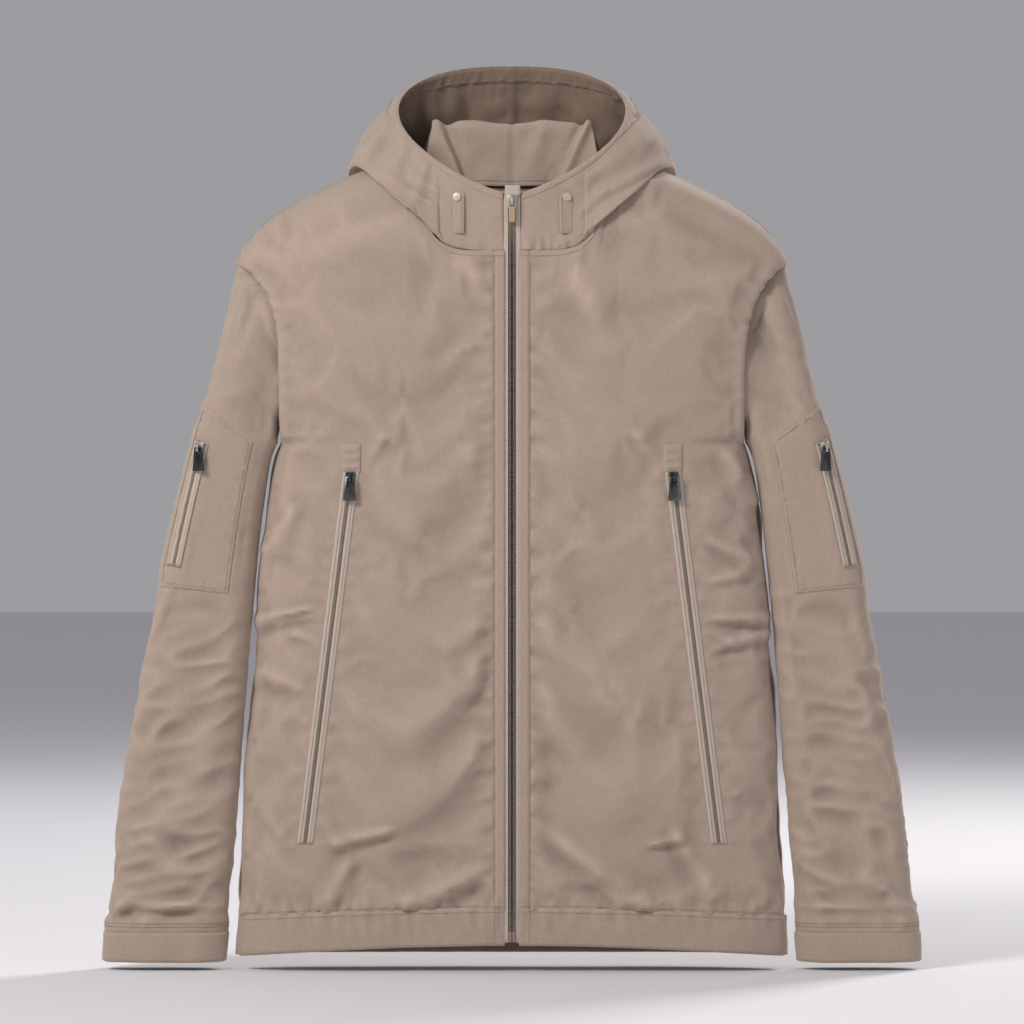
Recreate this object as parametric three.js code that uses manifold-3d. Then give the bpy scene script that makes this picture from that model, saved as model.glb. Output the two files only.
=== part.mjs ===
// A hooded jacket with a full-length front zip, two slanted front pockets and a zipped pocket on each
// sleeve, in millimetres. It stands as it hangs: +Z is up, the front faces -Y and the wearer's left is
// +X. The origin is the middle of the neck opening, level with the back neck seam.
import * as THREE from 'three';
import { mergeVertices } from 'three/addons/utils/BufferGeometryUtils.js';
import Module from 'manifold-3d';

const wasm = await Module();
wasm.setup();

// ---- Clearances ----
const SEAM = 0.3; // between two pieces that are sewn or pressed together
const LOOSE = 0.8; // behind a piece that lies against the inside of curved cloth
const NECK_SEAM = 1.2; // between the neckline and what stands on it

// ---- Body ----
const CLOTH = 3; // shell cloth with its lining
const BACK_LENGTH = 718; // back neck seam to hem edge
const SHOULDER_DROP = 72; // back neck seam to shoulder point
const SHOULDER_HALF = 257;
const ARMPIT_DROP = 240;
const CHEST_HALF = 216;
const HEM_HALF = 257;
const CHEST_DEPTH = 90; // front to back at the neck seam
const HEM_DEPTH = 68;
const HEM_BAND = 36;
const HEM_ARCH = 12; // how far the front hem rises to the zip
const SHOULDER_ROUND = 110; // height over which front and back close onto the shoulder seam
const ARMHOLE_SWELL = 26; // how far the panels' section would run on past the armhole edge
const NECK_HALF = 98;
const NECK_RISE = 25; // side neck point above the back neck seam
const FRONT_NECK_DROP = 64;
const NECK_TAPE_HALF = 50;
const NECK_TAPE_WIDTH = 12;
const NECK_TAPE_THICK = 1;

// ---- Front opening ----
const FOLD_TOP_X = 62; // the line that each front folds back on, at the neck seam
const FOLD_HEM_X = 150; // and at the hem
const ZIP_ROW_GAP = 2; // between the two rows of teeth
const TEETH_WIDTH = 2.4;
const TEETH_THICK = 2.4;
const TAPE_WIDTH = 3.4;
const TAPE_THICK = 1.2;
const ZIP_TOP_Z = -12;
const ZIP_HEM_GAP = 2; // from the front hem's edge up to the zip's foot
const ZIP_END_HEIGHT = 10; // retainer box and insertion pin
const ZIP_END_THICK = 4;
const GARAGE_HEIGHT = 8;

// ---- Hood ----
const HOOD_WALL = 4;
const RIM_FLARE = 10; // how far the rim is wider than the neck, each side
const RIM_FRONT_BACK = 1; // behind the front of the chest
const RIM_BEHIND = 29; // behind the back of the chest
const RIM_FRONT_Z = -12;
const RIM_BACK_Z = 118;
const BRIM_WIDTH = 16;
const BRIM_GAP = 0.009; // at the brim seam, as a share of the wall from fold to rim
const HOOD_BULGE = 26; // how far the pouch stands out behind
const HOOD_SPLIT_DEG = 122; // round the neck from the front, where the lifting pouch begins
const HOOD_TUCK = 7.5; // how far the pouch's edge lies inside the hood's sides
const NAPE_TOP_Z = 60;
const NAPE_BEHIND = 1; // behind the back of the chest
const NAPE_DIP = 6; // how far the nape's top curves forward at its ends
const NAPE_TAPER = 0.92; // the nape's width at its top, as a share of that at the neck seam
const FALL_GAP = 0.6; // between the nape stand's outer face and the layer behind it
const FALL_LEAN = 2; // how far the fall leans away from the back on its way down
const FALL_FOOT_RISE = 12; // from the pouch's lower fold up to the fall's edge
const FALL_TAPER = 0.9; // the fall's half-width as a share of the pouch's
const FALL_FOOT_DEG = 140; // round the neck from the front, where the fall's foot begins

// ---- Neck tabs ----
const TAB_X = 50;
const TAB_WIDTH = 13.5;
const TAB_LENGTH = 40;
const TAB_THICK = 1.6;
const TAB_START = 0.2; // share of the collar's height
const TAB_TURN = 0.22; // towards the side, in radians
const SNAP_RADIUS = 4;
const SNAP_THICK = 1.4;

// ---- Sleeves ----
const SLEEVE_WALL = 3;
const SLEEVE_TOP_Z = -66;
const SLEEVE_LENGTH = 631; // down the outer edge, as far as the cuff seam
const SLEEVE_REACH = 130; // how far the outer edge runs out from the shoulder
const SHOULDER_STEP = 5; // from the shoulder point in to the sleeve's outer edge
const SLEEVE_TILT = 130; // how much lower the armhole's inner end is than its outer end
const SLEEVE_TUCK_OUTER = 29; // how far the sleeve's end lies inside the shoulder point
const SLEEVE_TUCK_INNER = 20; // and inside the armpit
const ARMHOLE_NARROWING = 0.5; // the body's depth at the armhole, as a share of the chest's
const SLEEVE_HALF_THICK = 27;
const CUFF_HALF_THICK = 20;
const CUFF_WIDTH = 26;
const SLEEVE_SQUARE = 3.5; // how square the flattened section is: 2 is an ellipse
const SIDE_GAP = 4; // between sleeve and body at the armpit
const CUFF_SIDE_GAP = 9; // and at the cuff

// ---- Hand pockets ----
const HAND_ZIP_TOP_X = 149;
const HAND_ZIP_TOP_Z = -268;
const HAND_ZIP_FOOT_X = 192;
const HAND_ZIP_FOOT_Z = -612;
const HAND_WELT_WIDTH = 15;
const WELT_THICK = 1.5;
const HAND_TAB_WIDTH = 18;
const HAND_TAB_HEIGHT = 26;
const HAND_TAB_THICK = 2;
const POCKET_BAG_THICK = 2;
const POCKET_BAG_MARGIN = 8; // from the front's fold line
const POCKET_BAG_SIDE = 48; // from the body's side
const POCKET_BAG_END = 20; // inside each end of the zip

// ---- Sleeve pockets ----
const PATCH_THICK = 1.2;
const PATCH_TOP = 0.215; // shares of the sleeve's length
const PATCH_FOOT = 0.485;
const SLEEVE_ZIP_TOP = 0.265;
const SLEEVE_ZIP_FOOT = 0.455;
const PATCH_INNER = -0.5; // shares of the sleeve's half-width
const PATCH_OUTER = 0.92;
const SLEEVE_ZIP_ACROSS = 0.66;
const SLEEVE_WELT_HALF = 0.2;

// ---- Zip sliders and pulls ----
const MAIN_SLIDER = { width: 10, length: 12, pullWidth: 5, pullFoot: 6, pullLength: 20 };
const POCKET_SLIDER = { width: 9, length: 11, pullWidth: 8, pullFoot: 12, pullLength: 22 };
const SLIDER_PLATE = 1.8;
const BRIDGE_WIDTH = 2.4;
const BRIDGE_THICK = 1.2;
const BRIDGE_SPACE = 3; // room under the bridge for the pull's eye
const PULL_THICK = 1.6;
const PULL_EYE_BAR = 1.8;
const PULL_PLAY = 0.5;
const SLIDER_WEDGE = 1; // the post that runs between the two rows of teeth

// ---- Colours ----
const SHELL = { color: 0xa08e7c, roughness: 0.95, metalness: 0 };
const TAPE = { color: 0xb2a38e, roughness: 0.9, metalness: 0 };
const LINING = { color: 0x8c7a68, roughness: 0.95, metalness: 0 };
const TEETH = { color: 0x8f8272, roughness: 0.5, metalness: 0.2 };
const GUNMETAL = { color: 0x3a3c38, roughness: 0.4, metalness: 0.9 };
const SILVER = { color: 0xb9b6ae, roughness: 0.3, metalness: 1 };

const jacket = new THREE.Group();
const HEM_Z = -BACK_LENGTH;
const ARMPIT_Z = -ARMPIT_DROP;
const SHOULDER_Z = -SHOULDER_DROP;
const CHEST_Y = CHEST_DEPTH / 2;
const NAPE_TOP_Y = CHEST_Y + NAPE_BEHIND;
const ZIP_EDGE = ZIP_ROW_GAP / 2 + TEETH_WIDTH + SEAM + TAPE_WIDTH + SEAM;
const ZIP_FOOT_Z = HEM_Z + HEM_ARCH + ZIP_HEM_GAP;

const clamp = (value, low, high) => Math.min(high, Math.max(low, value));
const mix = THREE.MathUtils.lerp;
const smooth = (value) => THREE.MathUtils.smoothstep(value, 0, 1);
const even = (count) => Array.from({ length: count + 1 }, (_, i) => i / count);

function add(name, geometry, look, parent = jacket) {
  const mesh = new THREE.Mesh(geometry, new THREE.MeshStandardMaterial(look));
  mesh.name = name;
  parent.add(mesh);
  return mesh;
}

// A closed sheet. place(u, v, layer) gives a point for each u and v in the two lists, on the outer face
// where layer is 0 and on the inner face where it is 1. A ring's last column joins its first.
function sheet(place, us, vs, ring = false) {
  const positions = [];
  const index = [];
  const columns = us.length;
  const rows = vs.length;
  for (const layer of [0, 1]) {
    for (const v of vs) for (const u of us) positions.push(...place(u, v, layer).toArray());
  }
  const at = (i, j, layer) => (layer * rows + j) * columns + (i % columns);
  const quad = (a, b, c, d) => index.push(a, b, c, a, c, d);
  const spans = ring ? columns : columns - 1;
  for (let i = 0; i < spans; i++) {
    for (let j = 0; j < rows - 1; j++) {
      quad(at(i, j, 0), at(i + 1, j, 0), at(i + 1, j + 1, 0), at(i, j + 1, 0));
      quad(at(i, j, 1), at(i, j + 1, 1), at(i + 1, j + 1, 1), at(i + 1, j, 1));
    }
    quad(at(i, 0, 1), at(i + 1, 0, 1), at(i + 1, 0, 0), at(i, 0, 0));
    quad(at(i, rows - 1, 0), at(i + 1, rows - 1, 0), at(i + 1, rows - 1, 1), at(i, rows - 1, 1));
  }
  for (let j = 0; j < rows - 1 && !ring; j++) {
    const last = columns - 1;
    quad(at(0, j, 0), at(0, j + 1, 0), at(0, j + 1, 1), at(0, j, 1));
    quad(at(last, j, 1), at(last, j + 1, 1), at(last, j + 1, 0), at(last, j, 0));
  }
  const geometry = new THREE.BufferGeometry();
  geometry.setAttribute('position', new THREE.Float32BufferAttribute(positions, 3));
  geometry.setIndex(index);
  return facingOut(geometry);
}

// Turns the triangles round where the solid would be inside out.
function facingOut(geometry) {
  const points = geometry.getAttribute('position');
  const index = geometry.getIndex().array;
  const [a, b, c] = [new THREE.Vector3(), new THREE.Vector3(), new THREE.Vector3()];
  let volume = 0;
  for (let i = 0; i < index.length; i += 3) {
    a.fromBufferAttribute(points, index[i]);
    b.fromBufferAttribute(points, index[i + 1]);
    c.fromBufferAttribute(points, index[i + 2]);
    volume += a.dot(b.cross(c));
  }
  if (volume < 0) {
    const turned = Array.from(index);
    for (let i = 0; i < turned.length; i += 3) {
      [turned[i + 1], turned[i + 2]] = [turned[i + 2], turned[i + 1]];
    }
    geometry.setIndex(turned);
  }
  geometry.computeVertexNormals();
  return geometry;
}

function solid(geometry) {
  const bare = geometry.clone();
  bare.deleteAttribute('normal');
  bare.deleteAttribute('uv');
  const welded = mergeVertices(bare, 1e-4);
  return new wasm.Manifold(new wasm.Mesh({
    numProp: 3,
    vertProperties: new Float32Array(welded.getAttribute('position').array),
    triVerts: new Uint32Array(welded.getIndex().array),
  }));
}

function joined(...geometries) {
  const mesh = geometries.map(solid).reduce((a, b) => a.add(b)).getMesh();
  const geometry = new THREE.BufferGeometry();
  geometry.setAttribute('position', new THREE.Float32BufferAttribute(mesh.vertProperties, 3));
  geometry.setIndex(Array.from(mesh.triVerts));
  geometry.computeVertexNormals();
  return geometry;
}

function block(x0, x1, y0, y1, z0, z1) {
  return new THREE.BoxGeometry(x1 - x0, y1 - y0, z1 - z0)
    .translate((x0 + x1) / 2, (y0 + y1) / 2, (z0 + z1) / 2);
}

// A flat piece drawn in X and Z and given its thickness along -Y, its back at y = 0.
function plate(shape, thick) {
  return new THREE.ExtrudeGeometry(shape, { depth: thick, bevelEnabled: false, curveSegments: 6 })
    .rotateX(Math.PI / 2);
}

// ================= Body =================

// Where the panels' side edge is: the side seam below the armpit, the armhole above it.
function sideEdge(z) {
  if (z <= ARMPIT_Z) {
    const down = clamp((ARMPIT_Z - z) / (ARMPIT_Z - HEM_Z), 0, 1);
    return CHEST_HALF + (HEM_HALF - CHEST_HALF) * down ** 0.55;
  }
  const up = clamp((z - ARMPIT_Z) / (SHOULDER_Z - ARMPIT_Z), 0, 1);
  return CHEST_HALF + (SHOULDER_HALF - CHEST_HALF) * up ** 6;
}

function sectionHalf(z) {
  const up = clamp((z - ARMPIT_Z) / (SHOULDER_Z - ARMPIT_Z), 0, 1);
  return sideEdge(z) + ARMHOLE_SWELL * Math.sqrt(Math.sin(Math.PI * up));
}

// Height of the shoulder seam, running on over the neck opening.
function roof(x) {
  const out = Math.abs(x) - NECK_HALF;
  if (out < 0) return NECK_RISE - 0.25 * out;
  const share = clamp(out / (SHOULDER_HALF - NECK_HALF), 0, 1);
  return NECK_RISE - (NECK_RISE + SHOULDER_DROP) * (0.75 * share ** 1.4 + 0.25 * share ** 12);
}

function topEdge(x, front) {
  const share = Math.abs(x) / NECK_HALF;
  if (share >= 1) return roof(x);
  if (front) return -FRONT_NECK_DROP + (FRONT_NECK_DROP + NECK_RISE) * share ** 6;
  return NECK_RISE * share ** 3;
}

const fullHalfDepth = (z) =>
  mix(HEM_DEPTH, CHEST_DEPTH, (z - HEM_Z) / (-FRONT_NECK_DROP - HEM_Z)) / 2;

// Half the body's depth at x and z, for the outer face or for one that lies inset behind it.
function halfDepth(x, z, inset = 0, level = z) {
  const across = clamp(Math.abs(x) / (sectionHalf(level) - inset), 0, 1);
  const top = roof(x) - inset;
  const up = clamp((z - top + SHOULDER_ROUND) / SHOULDER_ROUND, 0, 1);
  return (fullHalfDepth(z) - inset) * Math.sqrt(1 - across ** 5) * Math.sqrt(1 - up * up);
}

// A point of a front (side -1) or back (side 1) panel. level is the height at the panel's side edge.
function bodyPoint(x, level, side, inset) {
  const lift = clamp((level - ARMPIT_Z) / (SHOULDER_Z - ARMPIT_Z), 0, 1);
  const edge = sideEdge(level);
  let z = level + lift * (topEdge(x, side < 0) - topEdge(edge, side < 0) - inset);
  if (side < 0) {
    const down = clamp((ARMPIT_Z - level) / (ARMPIT_Z - HEM_Z), 0, 1);
    z += HEM_ARCH * (1 - (x / HEM_HALF) ** 2) * down ** 4;
  }
  return new THREE.Vector3(x, side * (SEAM / 2 + halfDepth(x, z, inset, level)), z);
}

const foldX = (level) =>
  mix(FOLD_HEM_X, FOLD_TOP_X, (level - HEM_Z) / (SHOULDER_Z - HEM_Z));

const BAND_TOP = HEM_Z + HEM_BAND;
const bodyLevels = [
  ...even(6).map((t) => mix(BAND_TOP + SEAM, ARMPIT_Z, t)),
  ...even(8).slice(1).map((t) => mix(ARMPIT_Z, SHOULDER_Z, (1 - Math.cos(Math.PI * t)) / 2)),
];
const bandLevels = [HEM_Z, BAND_TOP];

// Columns from a panel's inner line to its side edge, close together at the neck and at the edge.
function columns(start, count, neckCount) {
  const neck = (NECK_HALF - start) / (SHOULDER_HALF - start);
  return [
    ...even(neckCount).map((t) => neck * t),
    ...even(count).slice(1).map((t) => mix(neck, 1, 1 - (1 - t) ** 1.7)),
  ];
}

// One panel between two lines, each giving x at a level; inset moves its free side edge in with it.
function panel(inner, outer, side, sign, us, levels) {
  return sheet((u, level, layer) => {
    const inset = layer * CLOTH;
    const far = outer(level) - (outer === sideEdge ? inset : 0);
    return bodyPoint(sign * mix(inner(level), far, u), level, side, inset);
  }, us, levels);
}

function addBody() {
  const halfColumns = columns(0, 9, 4);
  const across = [...halfColumns.slice(1).reverse().map((u) => -u), ...halfColumns];
  const back = (levels) => sheet((u, level, layer) => {
    const inset = layer * CLOTH;
    return bodyPoint(u * (sideEdge(level) - inset), level, 1, inset);
  }, across, levels);
  add('back_panel', back(bodyLevels), SHELL);
  add('back_hem_band', back(bandLevels), SHELL);
  const [lowLevel, highLevel] = bodyLevels.slice(-2);
  add('neck_tape', sheet((u, v, layer) => {
    const share = u * NECK_TAPE_HALF / SHOULDER_HALF;
    const inner = (level) => bodyPoint(share * (sideEdge(level) - CLOTH), level, 1, CLOTH);
    const [low, high] = [inner(lowLevel), inner(highLevel)];
    const point = high.lerp(low, (CLOTH + v * NECK_TAPE_WIDTH) / high.distanceTo(low));
    return point.setY(point.y - LOOSE - layer * NECK_TAPE_THICK);
  }, even(10).map((t) => 2 * t - 1), [0, 1]), TAPE);

  for (const [word, sign] of [['left', 1], ['right', -1]]) {
    const foldOut = (level) => foldX(level) + SEAM / 2;
    const foldIn = (level) => foldX(level) - SEAM / 2;
    const sideColumns = columns(FOLD_TOP_X, 8, 5);
    const zipEdge = () => ZIP_EDGE;
    add(`front_side_${word}`, panel(foldOut, sideEdge, -1, sign, sideColumns, bodyLevels), SHELL);
    add(`side_hem_band_${word}`, panel(foldOut, sideEdge, -1, sign, sideColumns, bandLevels), SHELL);
    add(`front_${word}`, panel(zipEdge, foldIn, -1, sign, even(6), bodyLevels), SHELL);
    add(`front_hem_band_${word}`, panel(zipEdge, foldIn, -1, sign, even(6), bandLevels), SHELL);
  }
}

// ================= Collar and hood =================

const turn = (degrees) => THREE.MathUtils.degToRad(degrees);
const roundX = (angle) => Math.sin(angle) ** 0.85; // 0 at front and back, 1 at the side
const angleAt = (x, half) => Math.asin((x / half) ** (1 / 0.85));
const outward = (angle) => new THREE.Vector3(Math.sin(angle), -Math.cos(angle), 0);

// The neck seam, at an angle round the neck from the front, on the wearer's left.
function neckSeam(angle) {
  const x = NECK_HALF * roundX(angle);
  const front = angle < Math.PI / 2;
  const z = topEdge(x, front);
  const y = (front ? -1 : 1) * (SEAM / 2 + halfDepth(x, z));
  const inwards = outward(angle).multiplyScalar(-NECK_SEAM);
  return new THREE.Vector3(x, y, z + NECK_SEAM).add(inwards);
}

function rim(angle) {
  const back = (1 - Math.cos(angle)) / 2;
  return new THREE.Vector3(
    (NECK_HALF + RIM_FLARE) * roundX(angle),
    mix(RIM_FRONT_BACK - CHEST_Y, CHEST_Y + RIM_BEHIND, back),
    mix(RIM_FRONT_Z, RIM_BACK_Z, back ** 0.6),
  );
}

// The outer lower fold of the hood: from the front edge of the neck, out over the shoulder and down
// the back to a point.
const foldStart = angleAt(FOLD_TOP_X, NECK_HALF);
const hoodFold = new THREE.CatmullRomCurve3([
  new THREE.Vector3(FOLD_TOP_X + 6, -CHEST_Y - 2, 18 - FRONT_NECK_DROP),
  new THREE.Vector3(NECK_HALF + 6, 1 - CHEST_Y, NECK_RISE - 43),
  new THREE.Vector3(NECK_HALF + 50, 4, NECK_RISE - 7),
  new THREE.Vector3(NECK_HALF + 54, CHEST_Y + 1, NECK_RISE - 25),
  new THREE.Vector3(NECK_HALF - 14, CHEST_Y + 17, -66),
  new THREE.Vector3(0, CHEST_Y + 21, -106),
]);
const fold = (angle) => hoodFold.getPoint(clamp((angle - foldStart) / (Math.PI - foldStart), 0, 1));

// A point of the hood's outer wall. up runs from -1 at the neck seam through 0 at the fold to 1 at the
// rim. inside is the distance in from the outer face.
function hoodPoint(angle, up, inside) {
  const from = fold(angle);
  const point = up < 0
    ? from.lerp(neckSeam(angle), -up)
    : from.lerp(rim(angle), up).addScaledVector(
      outward(angle), HOOD_BULGE * ((1 - Math.cos(angle)) / 2) ** 2 * Math.sin(Math.PI * up));
  return point.addScaledVector(outward(angle), -inside);
}

const brimStart = (angle) => 1 - BRIM_WIDTH / fold(angle).distanceTo(rim(angle));
const mirrored = (point, sign) => point.setX(sign * point.x);

function addHood() {
  const split = turn(HOOD_SPLIT_DEG);
  const pouchStart = split + turn(0.7);
  const tuck = (angle) => HOOD_TUCK * (1 - (angle - pouchStart) / (Math.PI - pouchStart)) ** 2;
  const seamAngle = turn(0.25); // half the gap at the centre back seam

  for (const [word, sign] of [['left', 1], ['right', -1]]) {
    const collarFrom = angleAt(ZIP_EDGE, NECK_HALF);
    const collarTo = foldStart - turn(1);
    add(`collar_${word}`, sheet((u, v, layer) => {
      const angle = mix(collarFrom, collarTo, u);
      const point = neckSeam(angle).lerp(rim(angle), v);
      point.x = mix(NECK_HALF * roundX(angle), point.x, v * u);
      return mirrored(point.addScaledVector(outward(angle), -layer * HOOD_WALL), sign);
    }, even(6), even(3)), SHELL);

    const sideAngle = (u) => mix(foldStart, split, u);
    add(`hood_side_${word}`, sheet((u, v, layer) => {
      const angle = sideAngle(u);
      const up = v < 0.5 ? 2 * v - 1 : (2 * v - 1) * (brimStart(angle) - BRIM_GAP);
      return mirrored(hoodPoint(angle, up, layer * HOOD_WALL), sign);
    }, even(10), [0, 0.25, 0.5, 0.6, 0.8, 1]), SHELL);
    add(`brim_side_${word}`, sheet((u, v, layer) => {
      const angle = sideAngle(u);
      return mirrored(hoodPoint(angle, mix(brimStart(angle), 1, v), layer * HOOD_WALL), sign);
    }, even(10), [0, 1]), SHELL);

    const pouchAngle = (u) => mix(pouchStart, Math.PI - seamAngle, u);
    add(`hood_pouch_${word}`, sheet((u, v, layer) => {
      const angle = pouchAngle(u);
      const up = v * (brimStart(angle) - BRIM_GAP);
      return mirrored(hoodPoint(angle, up, tuck(angle) + layer * HOOD_WALL), sign);
    }, even(8), even(6)), SHELL);
  }

  const aroundBack = even(16).map((t) => mix(-1, 1, t));
  add('brim_back', sheet((u, v, layer) => {
    const angle = Math.PI - Math.abs(u) * (Math.PI - pouchStart);
    const up = mix(brimStart(angle), 1, v);
    return mirrored(hoodPoint(angle, up, tuck(angle) + layer * HOOD_WALL), Math.sign(u) || 1);
  }, aroundBack, [0, 1]), SHELL);

  // The nape stand rises from the back neck seam; the fall hangs behind it into the pouch.
  const napeStart = split + turn(3);
  const napeTop = (x) => new THREE.Vector3(x, NAPE_TOP_Y - NAPE_DIP * (x / NECK_HALF) ** 2, NAPE_TOP_Z);
  add('hood_nape', sheet((u, v, layer) => {
    const angle = Math.PI - Math.abs(u) * (Math.PI - napeStart);
    const point = neckSeam(angle);
    point.lerp(napeTop(point.x * NAPE_TAPER), v);
    return mirrored(point.add(new THREE.Vector3(0, -layer * HOOD_WALL, 0)), Math.sign(u) || 1);
  }, aroundBack, even(3)), LINING);

  const fallTopHalf = NECK_HALF * roundX(napeStart) * NAPE_TAPER;
  add('hood_fall', sheet((u, v, layer) => {
    const foot = fold(Math.PI - Math.abs(u) * (Math.PI - turn(FALL_FOOT_DEG)));
    const x = mix(Math.abs(u) * fallTopHalf, foot.x * FALL_TAPER, v);
    const z = mix(NAPE_TOP_Z - SEAM, foot.z + FALL_FOOT_RISE, v);
    const y = NAPE_TOP_Y + FALL_GAP + FALL_LEAN * v + layer * CLOTH;
    return new THREE.Vector3((Math.sign(u) || 1) * x, y, z);
  }, aroundBack, even(4)), LINING);
}

// ================= Zips =================

// The slider's own frame: X across, +Z up the zip, -Y away from the cloth, the plate's back at y = 0.
// Its bridge holds the pull's eye, which turns about X at the group's eye height.
const EYE_Y = -SLIDER_PLATE - BRIDGE_SPACE / 2;
const EYE_SPACE_HALF = 2;

function sliderGeometry({ width, length }) {
  const outline = new THREE.Shape();
  outline.moveTo(-width / 2, length / 2);
  outline.lineTo(width / 2, length / 2);
  outline.lineTo(width * 0.34, -length / 2);
  outline.lineTo(-width * 0.34, -length / 2);
  const deep = SLIDER_PLATE + BRIDGE_SPACE + BRIDGE_THICK;
  const [half, leg] = [BRIDGE_WIDTH / 2, EYE_SPACE_HALF + BRIDGE_THICK];
  return joined(
    plate(outline, SLIDER_PLATE),
    block(-half, half, -deep, -deep + BRIDGE_THICK, -leg, leg),
    block(-half, half, -deep + 0.1, -SLIDER_PLATE + 0.1, EYE_SPACE_HALF, leg),
    block(-half, half, -deep + 0.1, -SLIDER_PLATE + 0.1, -leg, -EYE_SPACE_HALF),
  );
}

// The pull, hanging from its eye bar, whose middle is the origin.
function pullGeometry({ pullWidth, pullFoot, pullLength }) {
  const top = PULL_EYE_BAR / 2;
  const outline = new THREE.Shape();
  outline.moveTo(-pullWidth / 2, top);
  outline.lineTo(pullWidth / 2, top);
  outline.lineTo(pullFoot / 2, top - pullLength);
  outline.lineTo(-pullFoot / 2, top - pullLength);
  const eye = new THREE.Path();
  const half = BRIDGE_WIDTH / 2 + PULL_PLAY;
  const foot = -EYE_SPACE_HALF - BRIDGE_THICK - 1.5;
  eye.moveTo(-half, -top);
  eye.lineTo(-half, foot);
  eye.lineTo(half, foot);
  eye.lineTo(half, -top);
  outline.holes.push(eye);
  return plate(outline, PULL_THICK).translate(0, PULL_THICK / 2, 0);
}

// Adds a slider and its pull to a group placed at the middle of the slider's back.
function addSlider(name, size, place, facing, look, pullLook, extra = []) {
  const group = new THREE.Group();
  group.position.copy(place);
  group.rotation.z = facing;
  jacket.add(group);
  const body = sliderGeometry(size);
  add(`${name}_slider`, extra.length ? joined(body, ...extra) : body, look, group);
  add(`${name}_pull`, pullGeometry(size), pullLook, group).position.y = EYE_Y;
}

const frontY = (z, out) => -(SEAM / 2 + fullHalfDepth(z)) - out;

// A straight strip down the centre front between two heights, from x0 to x1.
function zipStrip(x0, x1, back, thick, zLow, zHigh) {
  return sheet((u, z, layer) =>
    new THREE.Vector3(mix(x0, x1, u), frontY(z, layer * thick - back), z), [0, 1], [zLow, zHigh]);
}

function addMainZip() {
  const teethIn = ZIP_ROW_GAP / 2;
  const teethOut = teethIn + TEETH_WIDTH;
  const tapeIn = teethOut + SEAM;
  const tapeOut = tapeIn + TAPE_WIDTH;
  const middle = CLOTH / 2; // the zip lies in the middle of the cloth's thickness
  const endTop = ZIP_FOOT_Z + ZIP_END_HEIGHT;
  for (const [word, sign, end] of [['left', 1, 'zip_box'], ['right', -1, 'zip_pin']]) {
    add(`zip_tape_${word}`, zipStrip(sign * tapeIn, sign * tapeOut, middle + TAPE_THICK / 2,
      TAPE_THICK, ZIP_FOOT_Z, ZIP_TOP_Z), TAPE);
    add(`zip_teeth_${word}`, zipStrip(sign * teethIn, sign * teethOut, middle + TEETH_THICK / 2,
      TEETH_THICK, endTop + SEAM, ZIP_TOP_Z), TEETH);
    add(end, zipStrip(sign * SEAM, sign * teethOut, middle + ZIP_END_THICK / 2,
      ZIP_END_THICK, ZIP_FOOT_Z, endTop), TEETH);
  }
  add('zip_garage', zipStrip(SEAM, tapeOut, middle + CLOTH / 2, CLOTH,
    ZIP_TOP_Z + SEAM, ZIP_TOP_Z + GARAGE_HEIGHT), TAPE);

  // The plate lies over both rows. The wedge runs between them and the keeper holds the left row only,
  // so that the right row can leave.
  const z = ZIP_TOP_Z - MAIN_SLIDER.length / 2;
  const back = TEETH_THICK / 2 - middle + 2 * SEAM;
  const reach = TEETH_THICK + 4 * SEAM;
  const [half, wedge] = [MAIN_SLIDER.length / 3, SLIDER_WEDGE / 2];
  addSlider('main', MAIN_SLIDER, new THREE.Vector3(0, frontY(z, back), z), 0, SILVER, TAPE, [
    block(-wedge, wedge, -SLIDER_PLATE / 2, reach + SLIDER_PLATE, -half, half),
    block(-wedge, teethOut - SEAM, reach, reach + SLIDER_PLATE, -half, half),
  ]);
}

// ================= Neck tabs =================

function addNeckTabs() {
  const shape = new THREE.Shape();
  const half = TAB_WIDTH / 2;
  shape.moveTo(-half, 0);
  shape.lineTo(half, 0);
  shape.lineTo(half, TAB_LENGTH - half);
  shape.absarc(0, TAB_LENGTH - half, half, 0, Math.PI);
  for (const [word, sign] of [['left', 1], ['right', -1]]) {
    const angle = angleAt(TAB_X, NECK_HALF);
    const low = neckSeam(angle);
    const lean = rim(angle).sub(low);
    const group = new THREE.Group();
    group.rotation.order = 'ZXY';
    group.rotation.z = sign * TAB_TURN;
    group.rotation.x = -Math.atan2(lean.y, lean.z);
    const start = low.lerp(rim(angle), TAB_START).addScaledVector(outward(angle), 4 * SEAM);
    group.position.copy(mirrored(start, sign));
    jacket.add(group);
    add(`neck_tab_${word}`, plate(shape, TAB_THICK), SHELL, group);
    const snap = new THREE.CylinderGeometry(SNAP_RADIUS, SNAP_RADIUS, SNAP_THICK, 16);
    add(`tab_snap_${word}`, snap, TAPE, group)
      .position.set(0, -TAB_THICK - SEAM - SNAP_THICK / 2, TAB_LENGTH - half);
  }
}

// ================= Hand pockets =================

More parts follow.
